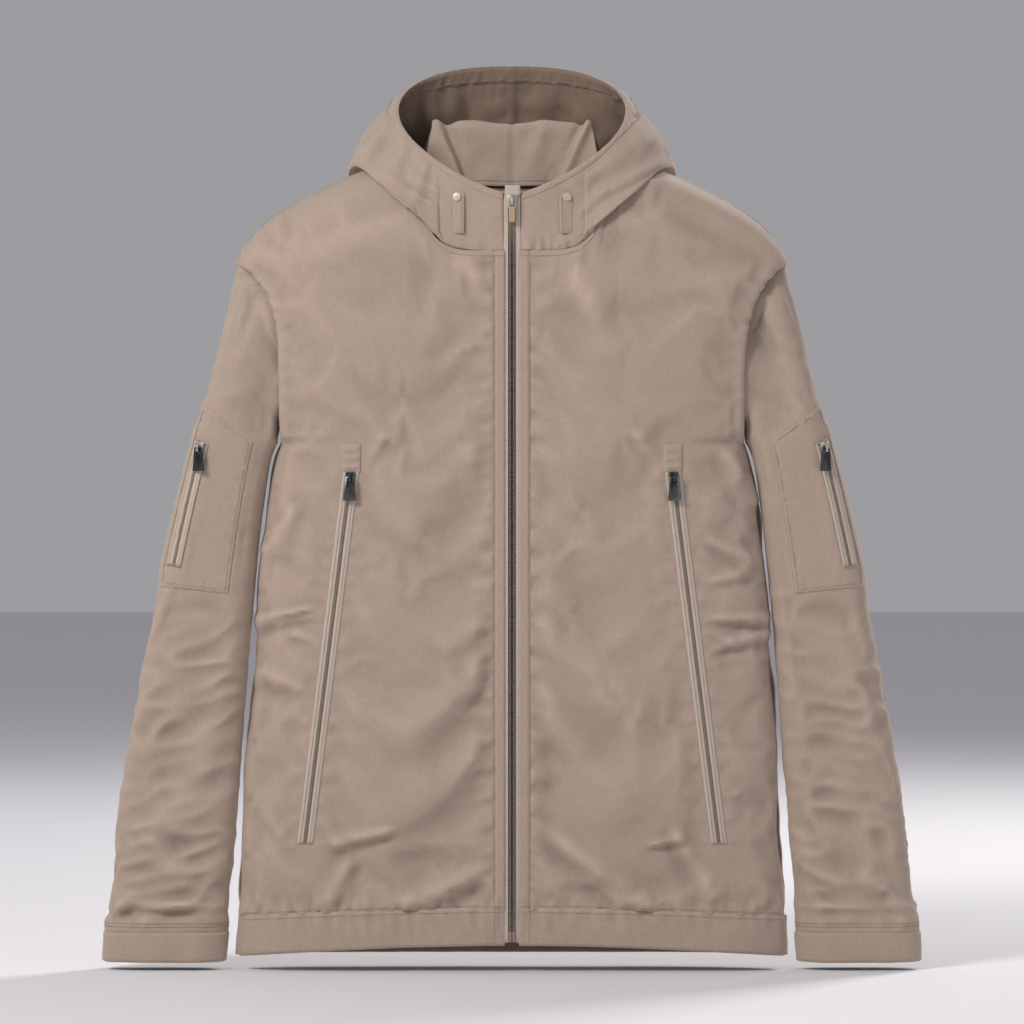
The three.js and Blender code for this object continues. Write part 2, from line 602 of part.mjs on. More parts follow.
function addHandPockets() {
  const onFront = (x, z, out) => new THREE.Vector3(x, -(SEAM / 2 + halfDepth(x, z)) - out, z);
  const zipX = (z) =>
    mix(HAND_ZIP_TOP_X, HAND_ZIP_FOOT_X, (z - HAND_ZIP_TOP_Z) / (HAND_ZIP_FOOT_Z - HAND_ZIP_TOP_Z));
  for (const [word, sign] of [['left', 1], ['right', -1]]) {
    const strip = (width, thick, zLow, zHigh, rows) => sheet((u, v, layer) => {
      const z = mix(zLow, zHigh, v);
      return mirrored(onFront(zipX(z) + u * width / 2, z, SEAM + layer * thick), sign);
    }, [-1, 0, 1], even(rows));
    add(`hand_pocket_welt_${word}`,
      strip(HAND_WELT_WIDTH, WELT_THICK, HAND_ZIP_FOOT_Z, HAND_ZIP_TOP_Z, 6), TAPE);
    add(`hand_pocket_tab_${word}`, strip(HAND_TAB_WIDTH, HAND_TAB_THICK,
      HAND_ZIP_TOP_Z + SEAM, HAND_ZIP_TOP_Z + HAND_TAB_HEIGHT, 2), SHELL);

    const z = HAND_ZIP_TOP_Z - POCKET_SLIDER.length / 2;
    const place = mirrored(onFront(zipX(z), z, WELT_THICK + 3 * SEAM), sign);
    const name = `hand_pocket_${word}`;
    addSlider(name, POCKET_SLIDER, place, sign * slope(zipX(z), z), GUNMETAL, GUNMETAL);

    add(`hand_pocket_bag_${word}`, sheet((u, v, layer) => {
      const zAt = mix(HAND_ZIP_FOOT_Z + POCKET_BAG_END, HAND_ZIP_TOP_Z - POCKET_BAG_END, v);
      const x = mix(foldX(zAt) + POCKET_BAG_MARGIN, sectionHalf(zAt) - POCKET_BAG_SIDE, u);
      const y = -(SEAM / 2 + halfDepth(x, zAt, CLOTH)) + LOOSE + layer * POCKET_BAG_THICK;
      return new THREE.Vector3(sign * x, y, zAt);
    }, even(5), even(5)), LINING);
  }
}

// How far the front has turned towards the side at x and z, in radians.
function slope(x, z) {
  return Math.atan(halfDepth(x - 1, z) - halfDepth(x, z));
}

// ================= Sleeves =================

// The sleeve's flattened section at a share of its length: its two edges and half its thickness.
function sleeveSection(share) {
  const outerZ = SLEEVE_TOP_Z - SLEEVE_LENGTH * share;
  const down = clamp((SHOULDER_Z - outerZ) / (SLEEVE_LENGTH + CUFF_WIDTH), 0, 1);
  const silhouette = SHOULDER_HALF - SHOULDER_STEP + SLEEVE_REACH * (1 - (1 - down) ** 1.6);
  const emerging = smooth(share / 0.03);
  const outerX = mix(SHOULDER_HALF - SLEEVE_TUCK_OUTER, silhouette, emerging);
  const innerZ = outerZ - SLEEVE_TILT * Math.max(0, 1 - share) ** 4;
  const beside = sideEdge(Math.min(innerZ, ARMPIT_Z)) + mix(SIDE_GAP, CUFF_SIDE_GAP, share * share);
  const innerX = mix(CHEST_HALF - SLEEVE_TUCK_INNER, beside, clamp(share / 0.12, 0, 1));
  const topThick = (CHEST_Y - CLOTH) * ARMHOLE_NARROWING - LOOSE;
  const thick = share < 0.25
    ? mix(topThick, SLEEVE_HALF_THICK, smooth(share / 0.25))
    : mix(SLEEVE_HALF_THICK, CUFF_HALF_THICK, clamp((share - 0.5) / 0.5, 0, 1));
  return {
    outer: new THREE.Vector3(outerX, 0, outerZ),
    inner: new THREE.Vector3(innerX, 0, innerZ),
    thick,
  };
}

// A point of the sleeve's front face. across runs from -1 at the inner edge to 1 at the outer edge.
function onSleeve(share, across, out, sign) {
  const { outer, inner, thick } = sleeveSection(share);
  const point = inner.clone().lerp(outer, (across + 1) / 2);
  point.y = -thick * Math.sqrt(1 - Math.abs(across) ** SLEEVE_SQUARE) - out;
  return mirrored(point, sign);
}

function tube(shares, wall, sign) {
  return sheet((u, share, layer) => {
    const angle = 2 * Math.PI * u;
    const { outer, inner, thick } = sleeveSection(share);
    const half = outer.distanceTo(inner) / 2;
    const across = Math.sign(Math.cos(angle)) * Math.abs(Math.cos(angle)) ** (2 / SLEEVE_SQUARE);
    const inset = layer * wall;
    const point = inner.clone().lerp(outer, (across * (1 - inset / half) + 1) / 2);
    point.y = -(thick - inset) * Math.sin(angle);
    return mirrored(point, sign);
  }, even(20).slice(0, -1), shares, true);
}

function addSleeves() {
  const shares = [0, 0.03, 0.06, 0.09, 0.12, 0.16, 0.2, 0.26, 0.34, 0.42, 0.5, 0.6, 0.7, 0.8, 0.9, 1];
  const cuffFrom = 1 + SEAM / SLEEVE_LENGTH;
  const cuffTo = 1 + CUFF_WIDTH / SLEEVE_LENGTH;
  for (const [word, sign] of [['left', 1], ['right', -1]]) {
    add(`sleeve_${word}`, tube(shares, SLEEVE_WALL, sign), SHELL);
    add(`cuff_${word}`, tube([cuffFrom, cuffTo], SLEEVE_WALL + 1, sign), SHELL);

    const laid = (from, to, low, high, out, thick, us, vs) => sheet((u, v, layer) =>
      onSleeve(mix(from, to, v), mix(low, high, u), out + layer * thick, sign), us, vs);
    add(`sleeve_pocket_${word}`, laid(PATCH_TOP, PATCH_FOOT, PATCH_INNER, PATCH_OUTER,
      LOOSE, PATCH_THICK, even(8), even(6)), SHELL);
    const weltOut = LOOSE + PATCH_THICK + SEAM;
    add(`sleeve_pocket_welt_${word}`, laid(SLEEVE_ZIP_TOP, SLEEVE_ZIP_FOOT,
      SLEEVE_ZIP_ACROSS - SLEEVE_WELT_HALF, SLEEVE_ZIP_ACROSS + SLEEVE_WELT_HALF,
      weltOut, WELT_THICK, even(4), even(4)), TAPE);

    const share = SLEEVE_ZIP_TOP + (POCKET_SLIDER.length / 2 + 1) / SLEEVE_LENGTH;
    const here = onSleeve(share, SLEEVE_ZIP_ACROSS, weltOut + WELT_THICK, 1);
    const next = onSleeve(share, SLEEVE_ZIP_ACROSS + 0.02, weltOut + WELT_THICK, 1);
    const facing = Math.atan2(next.y - here.y, next.x - here.x);
    const away = new THREE.Vector3(Math.sin(facing), -Math.cos(facing), 0);
    const place = mirrored(here.addScaledVector(away, 4 * SEAM), sign);
    addSlider(`sleeve_pocket_${word}`, POCKET_SLIDER, place, sign * facing, SILVER, GUNMETAL);
  }
}

addBody();
addHood();
addMainZip();
addNeckTabs();
addHandPockets();
addSleeves();

export default jacket;
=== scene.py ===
# A hooded canvas jacket with a full-length front zip, two slanted hand pockets and a zipped pocket on
# each sleeve. Pattern lines are in millimetres; every mesh is in metres, +Z up, front facing -Y.
import math

import bmesh
import bpy
import numpy as np
from mathutils import Matrix, Vector
from mathutils.bvhtree import BVHTree


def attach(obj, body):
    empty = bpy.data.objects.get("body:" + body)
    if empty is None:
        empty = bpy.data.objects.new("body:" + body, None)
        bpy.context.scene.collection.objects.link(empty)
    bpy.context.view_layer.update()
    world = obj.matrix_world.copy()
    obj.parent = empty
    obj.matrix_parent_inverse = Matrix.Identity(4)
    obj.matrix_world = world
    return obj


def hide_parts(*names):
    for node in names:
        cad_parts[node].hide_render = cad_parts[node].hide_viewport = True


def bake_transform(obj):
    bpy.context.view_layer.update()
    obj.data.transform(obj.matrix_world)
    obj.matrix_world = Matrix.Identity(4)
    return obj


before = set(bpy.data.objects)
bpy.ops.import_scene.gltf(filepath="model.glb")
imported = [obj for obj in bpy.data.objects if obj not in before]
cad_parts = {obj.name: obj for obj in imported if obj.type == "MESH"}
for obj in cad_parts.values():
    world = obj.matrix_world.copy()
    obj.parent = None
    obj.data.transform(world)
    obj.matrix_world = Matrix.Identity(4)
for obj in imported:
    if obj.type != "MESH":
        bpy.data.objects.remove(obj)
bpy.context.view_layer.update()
bpy.ops.object.select_all(action="DESELECT")
MM = 0.001

# ---------------------------------------------------------------- pattern sizes
SEAM = 0.3
HEM_Z, HEM_BAND, ARMPIT_Z, SHOULDER_Z = -718.0, 36.0, -240.0, -72.0
CHEST_HALF, HEM_HALF, SHOULDER_HALF, NECK_HALF = 216.0, 257.0, 257.0, 98.0
BAND_TOP = HEM_Z + HEM_BAND
ZIP_EDGE = 7.4
ZIP_TOP_Z, ZIP_FOOT_Z = -12.0, -704.0
NECK_SEAM = 1.2
BRIM_WIDTH, BRIM_INNER = 16.0, 14
SLEEVE_TOP_Z, SLEEVE_LENGTH, CUFF_WIDTH = -66.0, 631.0, 26.0
HAND_ZIP_TOP, HAND_ZIP_FOOT = (149.0, -268.0), (192.0, -612.0)
POCKET_TOP_Z, POCKET_FOOT_Z = -240, -616
HEM_DEPTH, CHEST_DEPTH, DEPTH_RUN, SHOULDER_ROUND = 68, 90, 654, 110
FOLD_TOP_X = 62
HALF_SEAM = SEAM / 2
SIDES = (("left", 1), ("right", -1))


def mix(a, b, t):
    return a + (b - a) * t


def ease(t):
    t = np.clip(t, 0, 1)
    return t * t * (3 - 2 * t)


def hand_zip_x(z):
    (top_x, top_z), (foot_x, foot_z) = HAND_ZIP_TOP, HAND_ZIP_FOOT
    return np.interp(z, (foot_z, top_z), (foot_x, top_x))


def beside_pocket(off_zip, z):
    """The distance from a hand pocket's zip, its ends counted."""
    return np.hypot(off_zip, np.maximum(np.maximum(z - POCKET_TOP_Z, POCKET_FOOT_Z - z), 0))


# ---------------------------------------------------------------- body pattern
def side_edge(z):
    down = np.clip((ARMPIT_Z - z) / (ARMPIT_Z - HEM_Z), 0, 1)
    up = np.clip((z - ARMPIT_Z) / (SHOULDER_Z - ARMPIT_Z), 0, 1)
    return CHEST_HALF + 41 * np.where(z <= ARMPIT_Z, down**0.55, up**6)


def section_half(z):
    up = np.clip((z - ARMPIT_Z) / (SHOULDER_Z - ARMPIT_Z), 0, 1)
    return side_edge(z) + 26 * np.sqrt(np.abs(np.sin(math.pi * up)))


def roof(x):
    out = np.abs(x) - NECK_HALF
    share = np.clip(out / (SHOULDER_HALF - NECK_HALF), 0, 1)
    return np.where(out < 0, 25 - 0.25 * out, 25 - 97 * (0.75 * share**1.4 + 0.25 * share**12))


def top_edge(x, front):
    share = np.abs(x) / NECK_HALF
    neck = -64 + 89 * share**6 if front else 25 * share**3
    return np.where(share >= 1, roof(x), neck)


def half_depth(x, z, inset=0.0, level=None):
    level = z if level is None else level
    across = np.clip(np.abs(x) / (section_half(level) - inset), 0, 1)
    up = np.clip((z - roof(x) + inset + SHOULDER_ROUND) / SHOULDER_ROUND, 0, 1)
    full = mix(HEM_DEPTH, CHEST_DEPTH, (z - HEM_Z) / DEPTH_RUN) / 2
    return (full - inset) * np.sqrt(1 - across**5) * np.sqrt(1 - up * up)


def zip_plane(z):
    """Where the front's cloth lies beside the main zip."""
    return -(HALF_SEAM + mix(HEM_DEPTH, CHEST_DEPTH, (z - HEM_Z) / DEPTH_RUN) / 2)


def body_point(x, level, side, inset=0.0):
    lift = np.clip((level - ARMPIT_Z) / (SHOULDER_Z - ARMPIT_Z), 0, 1)
    front = side < 0
    z = level + lift * (top_edge(x, front) - top_edge(side_edge(level), front) - inset)
    if front:
        down = np.clip((ARMPIT_Z - level) / (ARMPIT_Z - HEM_Z), 0, 1)
        z = z + 12 * (1 - (x / HEM_HALF) ** 2) * down**4
    y = side * (HALF_SEAM + half_depth(x, z, inset, level))
    return np.stack([x + 0 * z, y + 0 * z, z + 0 * x], -1)


# ---------------------------------------------------------------- hood pattern
def around(angle):
    return np.sin(np.clip(angle, 1e-9, math.pi)) ** 0.85


def angle_at(x, half):
    return math.asin((x / half) ** (1 / 0.85))


def outward(angle):
    return np.stack([np.sin(angle), -np.cos(angle), 0 * angle], -1)


def neck_seam(angle):
    x = NECK_HALF * around(angle)
    front = angle < math.pi / 2
    z = np.where(front, top_edge(x, True), top_edge(x, False))
    y = np.where(front, -1, 1) * (HALF_SEAM + half_depth(x, z))
    return np.stack([x, y, z + NECK_SEAM], -1) - NECK_SEAM * outward(angle)


def rim(angle):
    back = (1 - np.cos(angle)) / 2
    return np.stack([108 * around(angle), mix(-44, 74, back), mix(-12, 118, back**0.6)], -1)


FOLD_START = angle_at(FOLD_TOP_X, NECK_HALF)


def fold_curve():
    knots = np.array([(68, -47, -46), (104, -44, -18), (148, 4, 18), (152, 46, 0), (84, 62, -66),
                      (0, 66, -106)], float)
    line = np.vstack([2 * knots[0] - knots[1], knots, 2 * knots[-1] - knots[-2]])
    table = []
    for t in np.linspace(0, 5, 501):
        i = min(int(t), 4)
        p, w = line[i:i + 4], t - i
        d = [max(float(((p[k + 1] - p[k]) ** 2).sum()) ** 0.25, 1e-4) for k in range(3)]
        t1 = ((p[1] - p[0]) / d[0] - (p[2] - p[0]) / (d[0] + d[1]) + (p[2] - p[1]) / d[1]) * d[1]
        t2 = ((p[2] - p[1]) / d[1] - (p[3] - p[1]) / (d[1] + d[2]) + (p[3] - p[2]) / d[2]) * d[1]
        c2, c3 = -3 * p[1] + 3 * p[2] - 2 * t1 - t2, 2 * p[1] - 2 * p[2] + t1 + t2
        table.append(p[1] + w * (t1 + w * (c2 + w * c3)))
    return np.array(table)


FOLD_TABLE = fold_curve()


def hood_fold(angle):
    share = np.clip((angle - FOLD_START) / (math.pi - FOLD_START), 0, 1)
    curve = np.stack([np.interp(share, np.linspace(0, 1, 501), FOLD_TABLE[:, k]) for k in range(3)], -1)
    near = ease((angle - 0.2) / (FOLD_START - 0.2))[..., None]
    low = neck_seam(angle)
    start = low + (rim(angle) - low) * 0.15 * near + np.array([5.0, -2.0, 0]) * near
    return np.where((angle < FOLD_START)[..., None], start, curve)


def hood_point(angle, up):
    """The hood's outer face: up is -1 at the neck seam, 0 at the lower fold and 1 at the rim."""
    fold, top = hood_fold(angle), rim(angle)
    bulge = 26 * ((1 - np.cos(angle)) / 2) ** 2 * np.sin(math.pi * np.clip(up, 0, 1))
    above = fold + (top - fold) * np.clip(up, 0, 1)[..., None] + outward(angle) * bulge[..., None]
    below = fold + (neck_seam(angle) - fold) * np.clip(-up, 0, 1)[..., None]
    return np.where((up < 0)[..., None], below, above)


# ---------------------------------------------------------------- sleeve pattern
def sleeve_section(share):
    outer_z = SLEEVE_TOP_Z - SLEEVE_LENGTH * share
    down = np.clip((SHOULDER_Z - outer_z) / (SLEEVE_LENGTH + CUFF_WIDTH), 0, 1)
    silhouette = 252 + 130 * (1 - (1 - down) ** 1.6)
    outer_x = mix(232, silhouette + 3 * np.exp(-share / 0.06), ease(share / 0.013))
    inner_z = outer_z - 130 * np.maximum(0, 1 - share) ** 4
    beside = side_edge(np.minimum(inner_z, ARMPIT_Z)) + mix(4, 9, share * share)
    inner_x = mix(196, beside, np.clip(share / 0.12, 0, 1))
    thick = np.where(share < 0.25, mix(20.2, 27, ease(share / 0.25)),
                     mix(27, 20, np.clip((share - 0.5) / 0.5, 0, 1)))
    thick = thick * (0.74 + 0.26 * ease(share / 0.05))
    return outer_x, outer_z, inner_x, inner_z, thick


def sleeve_point(angle, share):
    """angle runs round the sleeve: 0 at its outer edge, a quarter turn on at the front."""
    outer_x, outer_z, inner_x, inner_z, thick = sleeve_section(share)
    across = np.sign(np.cos(angle)) * np.abs(np.cos(angle)) ** (2 / 3.5)
    x = mix(inner_x, outer_x, (across + 1) / 2)
    z = mix(inner_z, outer_z, (across + 1) / 2)
    return np.stack([x, -thick * np.sin(angle), z], -1)


# ---------------------------------------------------------------- cloth shapes
def rumple(a, b, size, seed, waves=26):
    """Soft uneven swell, about -1 to 1, with lumps of about the given size."""
    dice = np.random.RandomState(seed)
    total = 0 * a
    for _ in range(waves):
        turn, phase = dice.uniform(0, math.pi), dice.uniform(0, 2 * math.pi)
        pace = 2 * math.pi / (size * dice.uniform(0.7, 1.9))
        total = total + np.sin(pace * (a * math.cos(turn) + b * math.sin(turn)) + phase)
    return total / math.sqrt(waves)


def crease(a, b, start, end, width, height, lean=0.6):
    """One fold of cloth: a ridge from start to end with a valley along its lower side."""
    (a0, b0), (a1, b1) = start, end
    length = math.hypot(a1 - a0, b1 - b0)
    ca, cb = (a1 - a0) / length, (b1 - b0) / length
    along = ((a - a0) * ca + (b - b0) * cb) / length
    off = -(a - a0) * cb + (b - b0) * ca
    fade = ease(along / 0.25 + 0.5) * ease((1 - along) / 0.25 + 0.5)
    spread = width * (0.7 + 0.6 * np.clip(along, 0, 1))
    return height * fade * (np.exp(-(off / spread) ** 2)
                            - lean * np.exp(-((off + 1.5 * spread) / spread) ** 2))


def pucker(away, along, reach, pitch, depth, seed):
    """Small dents that sewing draws into cloth beside a seam."""
    dice = np.random.RandomState(seed)
    total = 0 * along
    for _ in range(7):
        pace = 2 * math.pi / (pitch * dice.uniform(0.6, 2.2))
        total = total + np.sin(pace * (along + away * dice.uniform(-0.5, 0.5)) + dice.uniform(0, 6.3))
    return depth * np.clip(total / 2.2, -1.6, 1.2) * np.exp(-(np.maximum(away, 0) / reach) ** 1.3)


def armhole_relief(gap, z, seed):
    """The swell beside an armhole's seam, and the puckers near its top."""
    return 1.6 * np.exp(-((gap - 4) / 5.0) ** 2) + pucker(gap, z, 12, 10, 0.8, seed) * (z > -140)


def hem_relief(x, z, reach, pitch, depth, seed, rumple_seed):
    down = BAND_TOP - z
    return (0.8 + pucker(down, x, reach, pitch, depth, seed)
            + 0.9 * rumple(x, z * 0.3, 60, rumple_seed) * ease(down / 14))


def unit(vectors):
    return vectors / np.linalg.norm(vectors, axis=-1, keepdims=True)


def running(points):
    """Running length along one line of points."""
    return np.concatenate([[0], np.cumsum(np.linalg.norm(np.diff(points, axis=0), axis=-1))])


def grid_normals(points, ring=False):
    if ring:
        wide = np.roll(points, -1, 1) - np.roll(points, 1, 1)
    else:
        wide = np.gradient(points, axis=1)
    n = np.cross(wide, np.gradient(points, axis=0))
    return n / np.maximum(np.linalg.norm(n, axis=-1, keepdims=True), 1e-12)


def lengths(points, axis):
    """Running length along the rows or columns, for a cloth's own flat measure."""
    step = np.linalg.norm(np.diff(points, axis=axis), axis=-1)
    pad = [(0, 0), (0, 0)]
    pad[axis] = (1, 0)
    return np.pad(np.cumsum(step, axis=axis), pad)


def round_lengths(ring):
    return lengths(np.concatenate([ring, ring[:, :1]], 1), 1)[:, :-1]


def resample(field, us, vs):
    """A coarse field (rows by columns) read smoothly at finer shares of its columns and rows."""
    def read(values, at):
        n = len(values) - 1
        t = np.clip(at, 0, 1) * n
        i = np.minimum(t.astype(int), n - 1)
        w = (t - i).reshape(-1, *[1] * (values.ndim - 1))
        pick = lambda k: values[np.clip(i + k, 0, n)]
        p0, p1, p2, p3 = pick(-1), pick(0), pick(1), pick(2)
        return (p1 + 0.5 * w
                * (p2 - p0 + w * (2 * p0 - 5 * p1 + 4 * p2 - p3 + w * (3 * (p1 - p2) + p3 - p0))))
    rows = read(field, vs)
    return np.swapaxes(read(np.swapaxes(rows, 0, 1), us), 0, 1)


def soften(points, rounds, axis=0):
    points = points.copy()
    cut = [slice(None)] * points.ndim
    low, mid, high = list(cut), list(cut), list(cut)
    low[axis], mid[axis], high[axis] = slice(None, -2), slice(1, -1), slice(2, None)
    for _ in range(rounds):
        points[tuple(mid)] = 0.5 * points[tuple(mid)] + 0.25 * (points[tuple(low)] + points[tuple(high)])
    return points


# the canvas finish lightens crests and darkens hollows by this value: painted highlight and painted shade
def crest_of(height, reach):
    """How far each point stands above the cloth round it, 0.5 where it is level."""
    level = height.copy()
    for axis in (0, 1):
        level = soften(level, reach, axis)
    return np.clip(0.5 + (height - level) * 0.2, 0, 1)


class Cloth:
    """A closed sheet of cloth between an outer face (rows by columns, millimetres) and an inner face."""

    def __init__(self, name, outer, thick, facing, ring=False, crest=None):
        self.name, self.outer, self.ring = name, outer, ring
        rows, cols = outer.shape[:2]
        normal = grid_normals(outer, ring)
        if float((normal * facing(outer)).sum()) < 0:
            normal = -normal
        self.normal = normal
        inner = outer - normal * (thick if np.isscalar(thick) else thick[..., None])
        u, v = lengths(outer, 1), lengths(outer, 0)
        if not ring:
            u = u - u.mean(axis=1, keepdims=True)
        self.wide, self.long = float(u.max() - u.min()), float(v.max())
        grid = np.arange(rows * cols).reshape(rows, cols)
        if ring:
            loops = [np.append(grid[0], grid[0, 0]), np.append(grid[-1], grid[-1, 0])]
            grid_f = np.hstack([grid, grid[:, :1]])
        else:
            loops = [np.concatenate([grid[0], grid[1:, -1], grid[-1, -2::-1], grid[-2::-1, 0]])]
            grid_f = grid
        flat_out, flat_in = outer.reshape(-1, 3), inner.reshape(-1, 3)
        flat_uv = np.stack([u, v], -1).reshape(-1, 2)
        flat_crest = (np.full((rows, cols), 0.5) if crest is None else crest).reshape(-1)
        step_in = np.zeros_like(outer)
        if not ring:
            step_in[:, 0] += outer[:, 0] - outer[:, 1]
            step_in[:, -1] += outer[:, -1] - outer[:, -2]
        step_in[0] += outer[0] - outer[1]
        step_in[-1] += outer[-1] - outer[-2]
        step_in = step_in.reshape(-1, 3)
        quads = np.stack([grid_f[:-1, :-1], grid_f[:-1, 1:], grid_f[1:, 1:], grid_f[1:, :-1]],
                         -1).reshape(-1, 4)
        count = rows * cols
        verts, uvs, crests = [flat_out, flat_in], [flat_uv, flat_uv], [flat_crest, flat_crest]
        faces = [quads, quads[:, ::-1] + count]
        kinds = [np.zeros(len(quads), int), np.ones(len(quads), int)]
        offset = 2 * count
        for loop in loops:
            edge = loop[:-1]
            out = step_in[edge] / np.maximum(np.linalg.norm(step_in[edge], axis=1, keepdims=True), 1e-9)
            gap = np.linalg.norm(flat_out[edge] - flat_in[edge], axis=1, keepdims=True)
            middle = (flat_out[edge] + flat_in[edge]) / 2 + out * gap * 0.42
            verts.append(middle)
            uvs.append(flat_uv[edge])
            # the rim of each sheet gets a higher crest value: a painted highlight along its edges
            crests.append(flat_crest[edge] + 0.12)
            m = offset + np.arange(len(edge))
            m2, a, b = np.roll(m, -1), edge, loop[1:]
            offset += len(edge)
            one, two = np.stack([a, m, m2, b], -1), np.stack([m, a + count, b + count, m2], -1)
            if loop is not loops[0]:
                one, two = one[:, ::-1], two[:, ::-1]
            faces += [one, two]
            kinds += [np.zeros(len(one), int), np.ones(len(two), int)]
        verts, faces = np.vstack(verts), np.vstack(faces)
        tri = verts[faces[:, [0, 1, 2, 0, 2, 3]]].reshape(-1, 3, 3)
        if float(np.einsum("ij,ij->i", tri[:, 0], np.cross(tri[:, 1], tri[:, 2])).sum()) < 0:
            faces = faces[:, ::-1]
        mesh = bpy.data.meshes.new(name)
        mesh.from_pydata((verts * MM).tolist(), [], faces.tolist())
        layer = mesh.uv_layers.new(name="cut")
        index = np.zeros(len(mesh.loops), int)
        mesh.loops.foreach_get("vertex_index", index)
        layer.data.foreach_set("uv", (np.vstack(uvs)[index] * MM).astype(np.float32).ravel())
        # crest drives the painted highlight on crests and painted shade in hollows in the canvas finish
        painted_shade_layer = mesh.attributes.new("crest", "FLOAT", "POINT")
        painted_shade_layer.data.foreach_set("value", np.clip(np.concatenate(crests), 0, 1).astype(np.float32))
        mesh.polygons.foreach_set("material_index", np.concatenate(kinds).astype(np.int32))
        self.obj = bpy.data.objects.new(name, mesh)
        bpy.context.scene.collection.objects.link(self.obj)
        corner = outer[:-1, :-1]
        patches = np.cross(outer[1:, :-1] - corner, outer[:-1, 1:] - corner)
        self.area = float(np.linalg.norm(patches, axis=-1).sum()) * 1e-6
        self.tree = None

    def finish(self, outer_look, inner_look, held="hung", rests_on=(), corner=60, declare=True):
        me = self.obj.data
        me.materials.append(outer_look)
        me.materials.append(inner_look)
        only(self.obj)
        bpy.ops.object.shade_smooth_by_angle(angle=math.radians(corner))
        if not declare:
            return self.obj
        wide, long = self.wide, self.long
        box = wide * long * 1e-6
        area = min(max(self.area, 0.3 * box), box)
        return self.obj

    def at(self, x, z, back=False, lift=0.0):
        """The point of the outer face in front of (x, z), or None where there is no cloth."""
        if self.tree is None:
            me = self.obj.data
            self.tree = BVHTree.FromPolygons([v.co for v in me.vertices], [p.vertices for p in me.polygons])
        way = -1 if back else 1
        hit, normal, _, _ = self.tree.ray_cast(Vector((x * MM, -way, z * MM)), Vector((0, way, 0)))
        if hit is None:
            return None
        if normal.y * way > 0:
            normal = -normal
        return np.array(hit) / MM + np.array(normal) * lift


def only(*objects):
    bpy.ops.object.select_all(action="DESELECT")
    for o in objects:
        o.select_set(True)
    bpy.context.view_layer.objects.active = objects[0]


def apply_all(obj):
    only(obj)
    for m in list(obj.modifiers):
        bpy.ops.object.modifier_apply(modifier=m.name)


def slacken(panels):
    """Lets each panel of cloth go slack between its seams: the cloth is a little longer than its outline,
    so it buckles. Gives each panel's movement in millimetres, rows by columns."""
    made = {}
    for name, (grid, held, growth, stiff, ring) in panels.items():
        rows, cols = grid.shape[:2]
        index = np.arange(rows * cols).reshape(rows, cols)
        wrap = np.hstack([index, index[:, :1]]) if ring else index
        faces = np.stack([wrap[:-1, :-1], wrap[:-1, 1:], wrap[1:, 1:], wrap[1:, :-1]], -1).reshape(-1, 4)
        mesh = bpy.data.meshes.new("slack_" + name)
        mesh.from_pydata((grid.reshape(-1, 3) * MM).tolist(), [], faces.tolist())
        obj = bpy.data.objects.new("slack_" + name, mesh)
        bpy.context.scene.collection.objects.link(obj)
        group = obj.vertex_groups.new(name="sewn")
        for i, w in enumerate(held.reshape(-1)):
            if w > 0:
                group.add([i], float(min(w, 1)), "REPLACE")
        cloth = obj.modifiers.new("Cloth", "CLOTH")
        s = cloth.settings
        s.quality, s.mass = 5, 0.25
        s.tension_stiffness = s.compression_stiffness = 18
        s.shear_stiffness = 8
        s.bending_stiffness = stiff
        s.tension_damping = s.compression_damping = s.shear_damping = 12
        s.air_damping = 2.0
        s.vertex_group_mass, s.pin_stiffness = "sewn", 1.0
        s.shrink_min = -growth
        s.effector_weights.gravity = 0.12
        cloth.collision_settings.use_collision = False
        cloth.point_cache.frame_start, cloth.point_cache.frame_end = 1, 40
        made[name] = (obj, grid)
    scene = bpy.context.scene
    for f in range(1, 25):
        scene.frame_set(f)
    graph = bpy.context.evaluated_depsgraph_get()
    moved = {}
    for name, (obj, grid) in made.items():
        co = np.zeros(grid.size, np.float32)
        obj.evaluated_get(graph).data.vertices.foreach_get("co", co)
        moved[name] = co.reshape(grid.shape) / MM - grid
    for obj, _ in made.values():
        bpy.data.objects.remove(obj)
    scene.frame_set(1)
    return moved


# ---------------------------------------------------------------- finishes
def group(name, sockets_in, sockets_out):
    tree = bpy.data.node_groups.new(name, "ShaderNodeTree")
    for label, kind, default in sockets_in:
        s = tree.interface.new_socket(name=label, in_out="INPUT", socket_type=kind)
        if default is not None:
            s.default_value = default
    for label, kind in sockets_out:
        tree.interface.new_socket(name=label, in_out="OUTPUT", socket_type=kind)
    return tree, tree.nodes.new("NodeGroupInput"), tree.nodes.new("NodeGroupOutput")


def wire(tree, a, b):
    tree.links.new(a, b)


def maths(tree, job, a, b=None, c=None):
    n = tree.nodes.new("ShaderNodeMath")
    n.operation = job
    for i, v in enumerate((a, b, c)):
        if v is None:
            continue
        if isinstance(v, (int, float)):
            n.inputs[i].default_value = v
        else:
            wire(tree, v, n.inputs[i])
    return n.outputs[0]


def noise_of(tree, vector, scale, detail=3.0, rough=0.55):
    n = tree.nodes.new("ShaderNodeTexNoise")
    n.inputs["Scale"].default_value = scale
    n.inputs["Detail"].default_value = detail
    n.inputs["Roughness"].default_value = rough
    wire(tree, vector, n.inputs["Vector"])
    return n.outputs[0]


def stretched(tree, vector, scale):
    n = tree.nodes.new("ShaderNodeMapping")
    n.inputs["Scale"].default_value = scale
    wire(tree, vector, n.inputs["Vector"])
    return n.outputs[0]


def blended(tree, factor, a, b, kind="MIX"):
    n = tree.nodes.new("ShaderNodeMix")
    n.data_type, n.blend_type = "RGBA", kind
    for socket, v in (("Factor", factor), ("A", a), ("B", b)):
        target = next(s for s in n.inputs if s.name == socket and s.enabled)
        if isinstance(v, (tuple, list)) or isinstance(v, float):
            target.default_value = v
        else:
            wire(tree, v, target)
    return next(s for s in n.outputs if s.enabled)


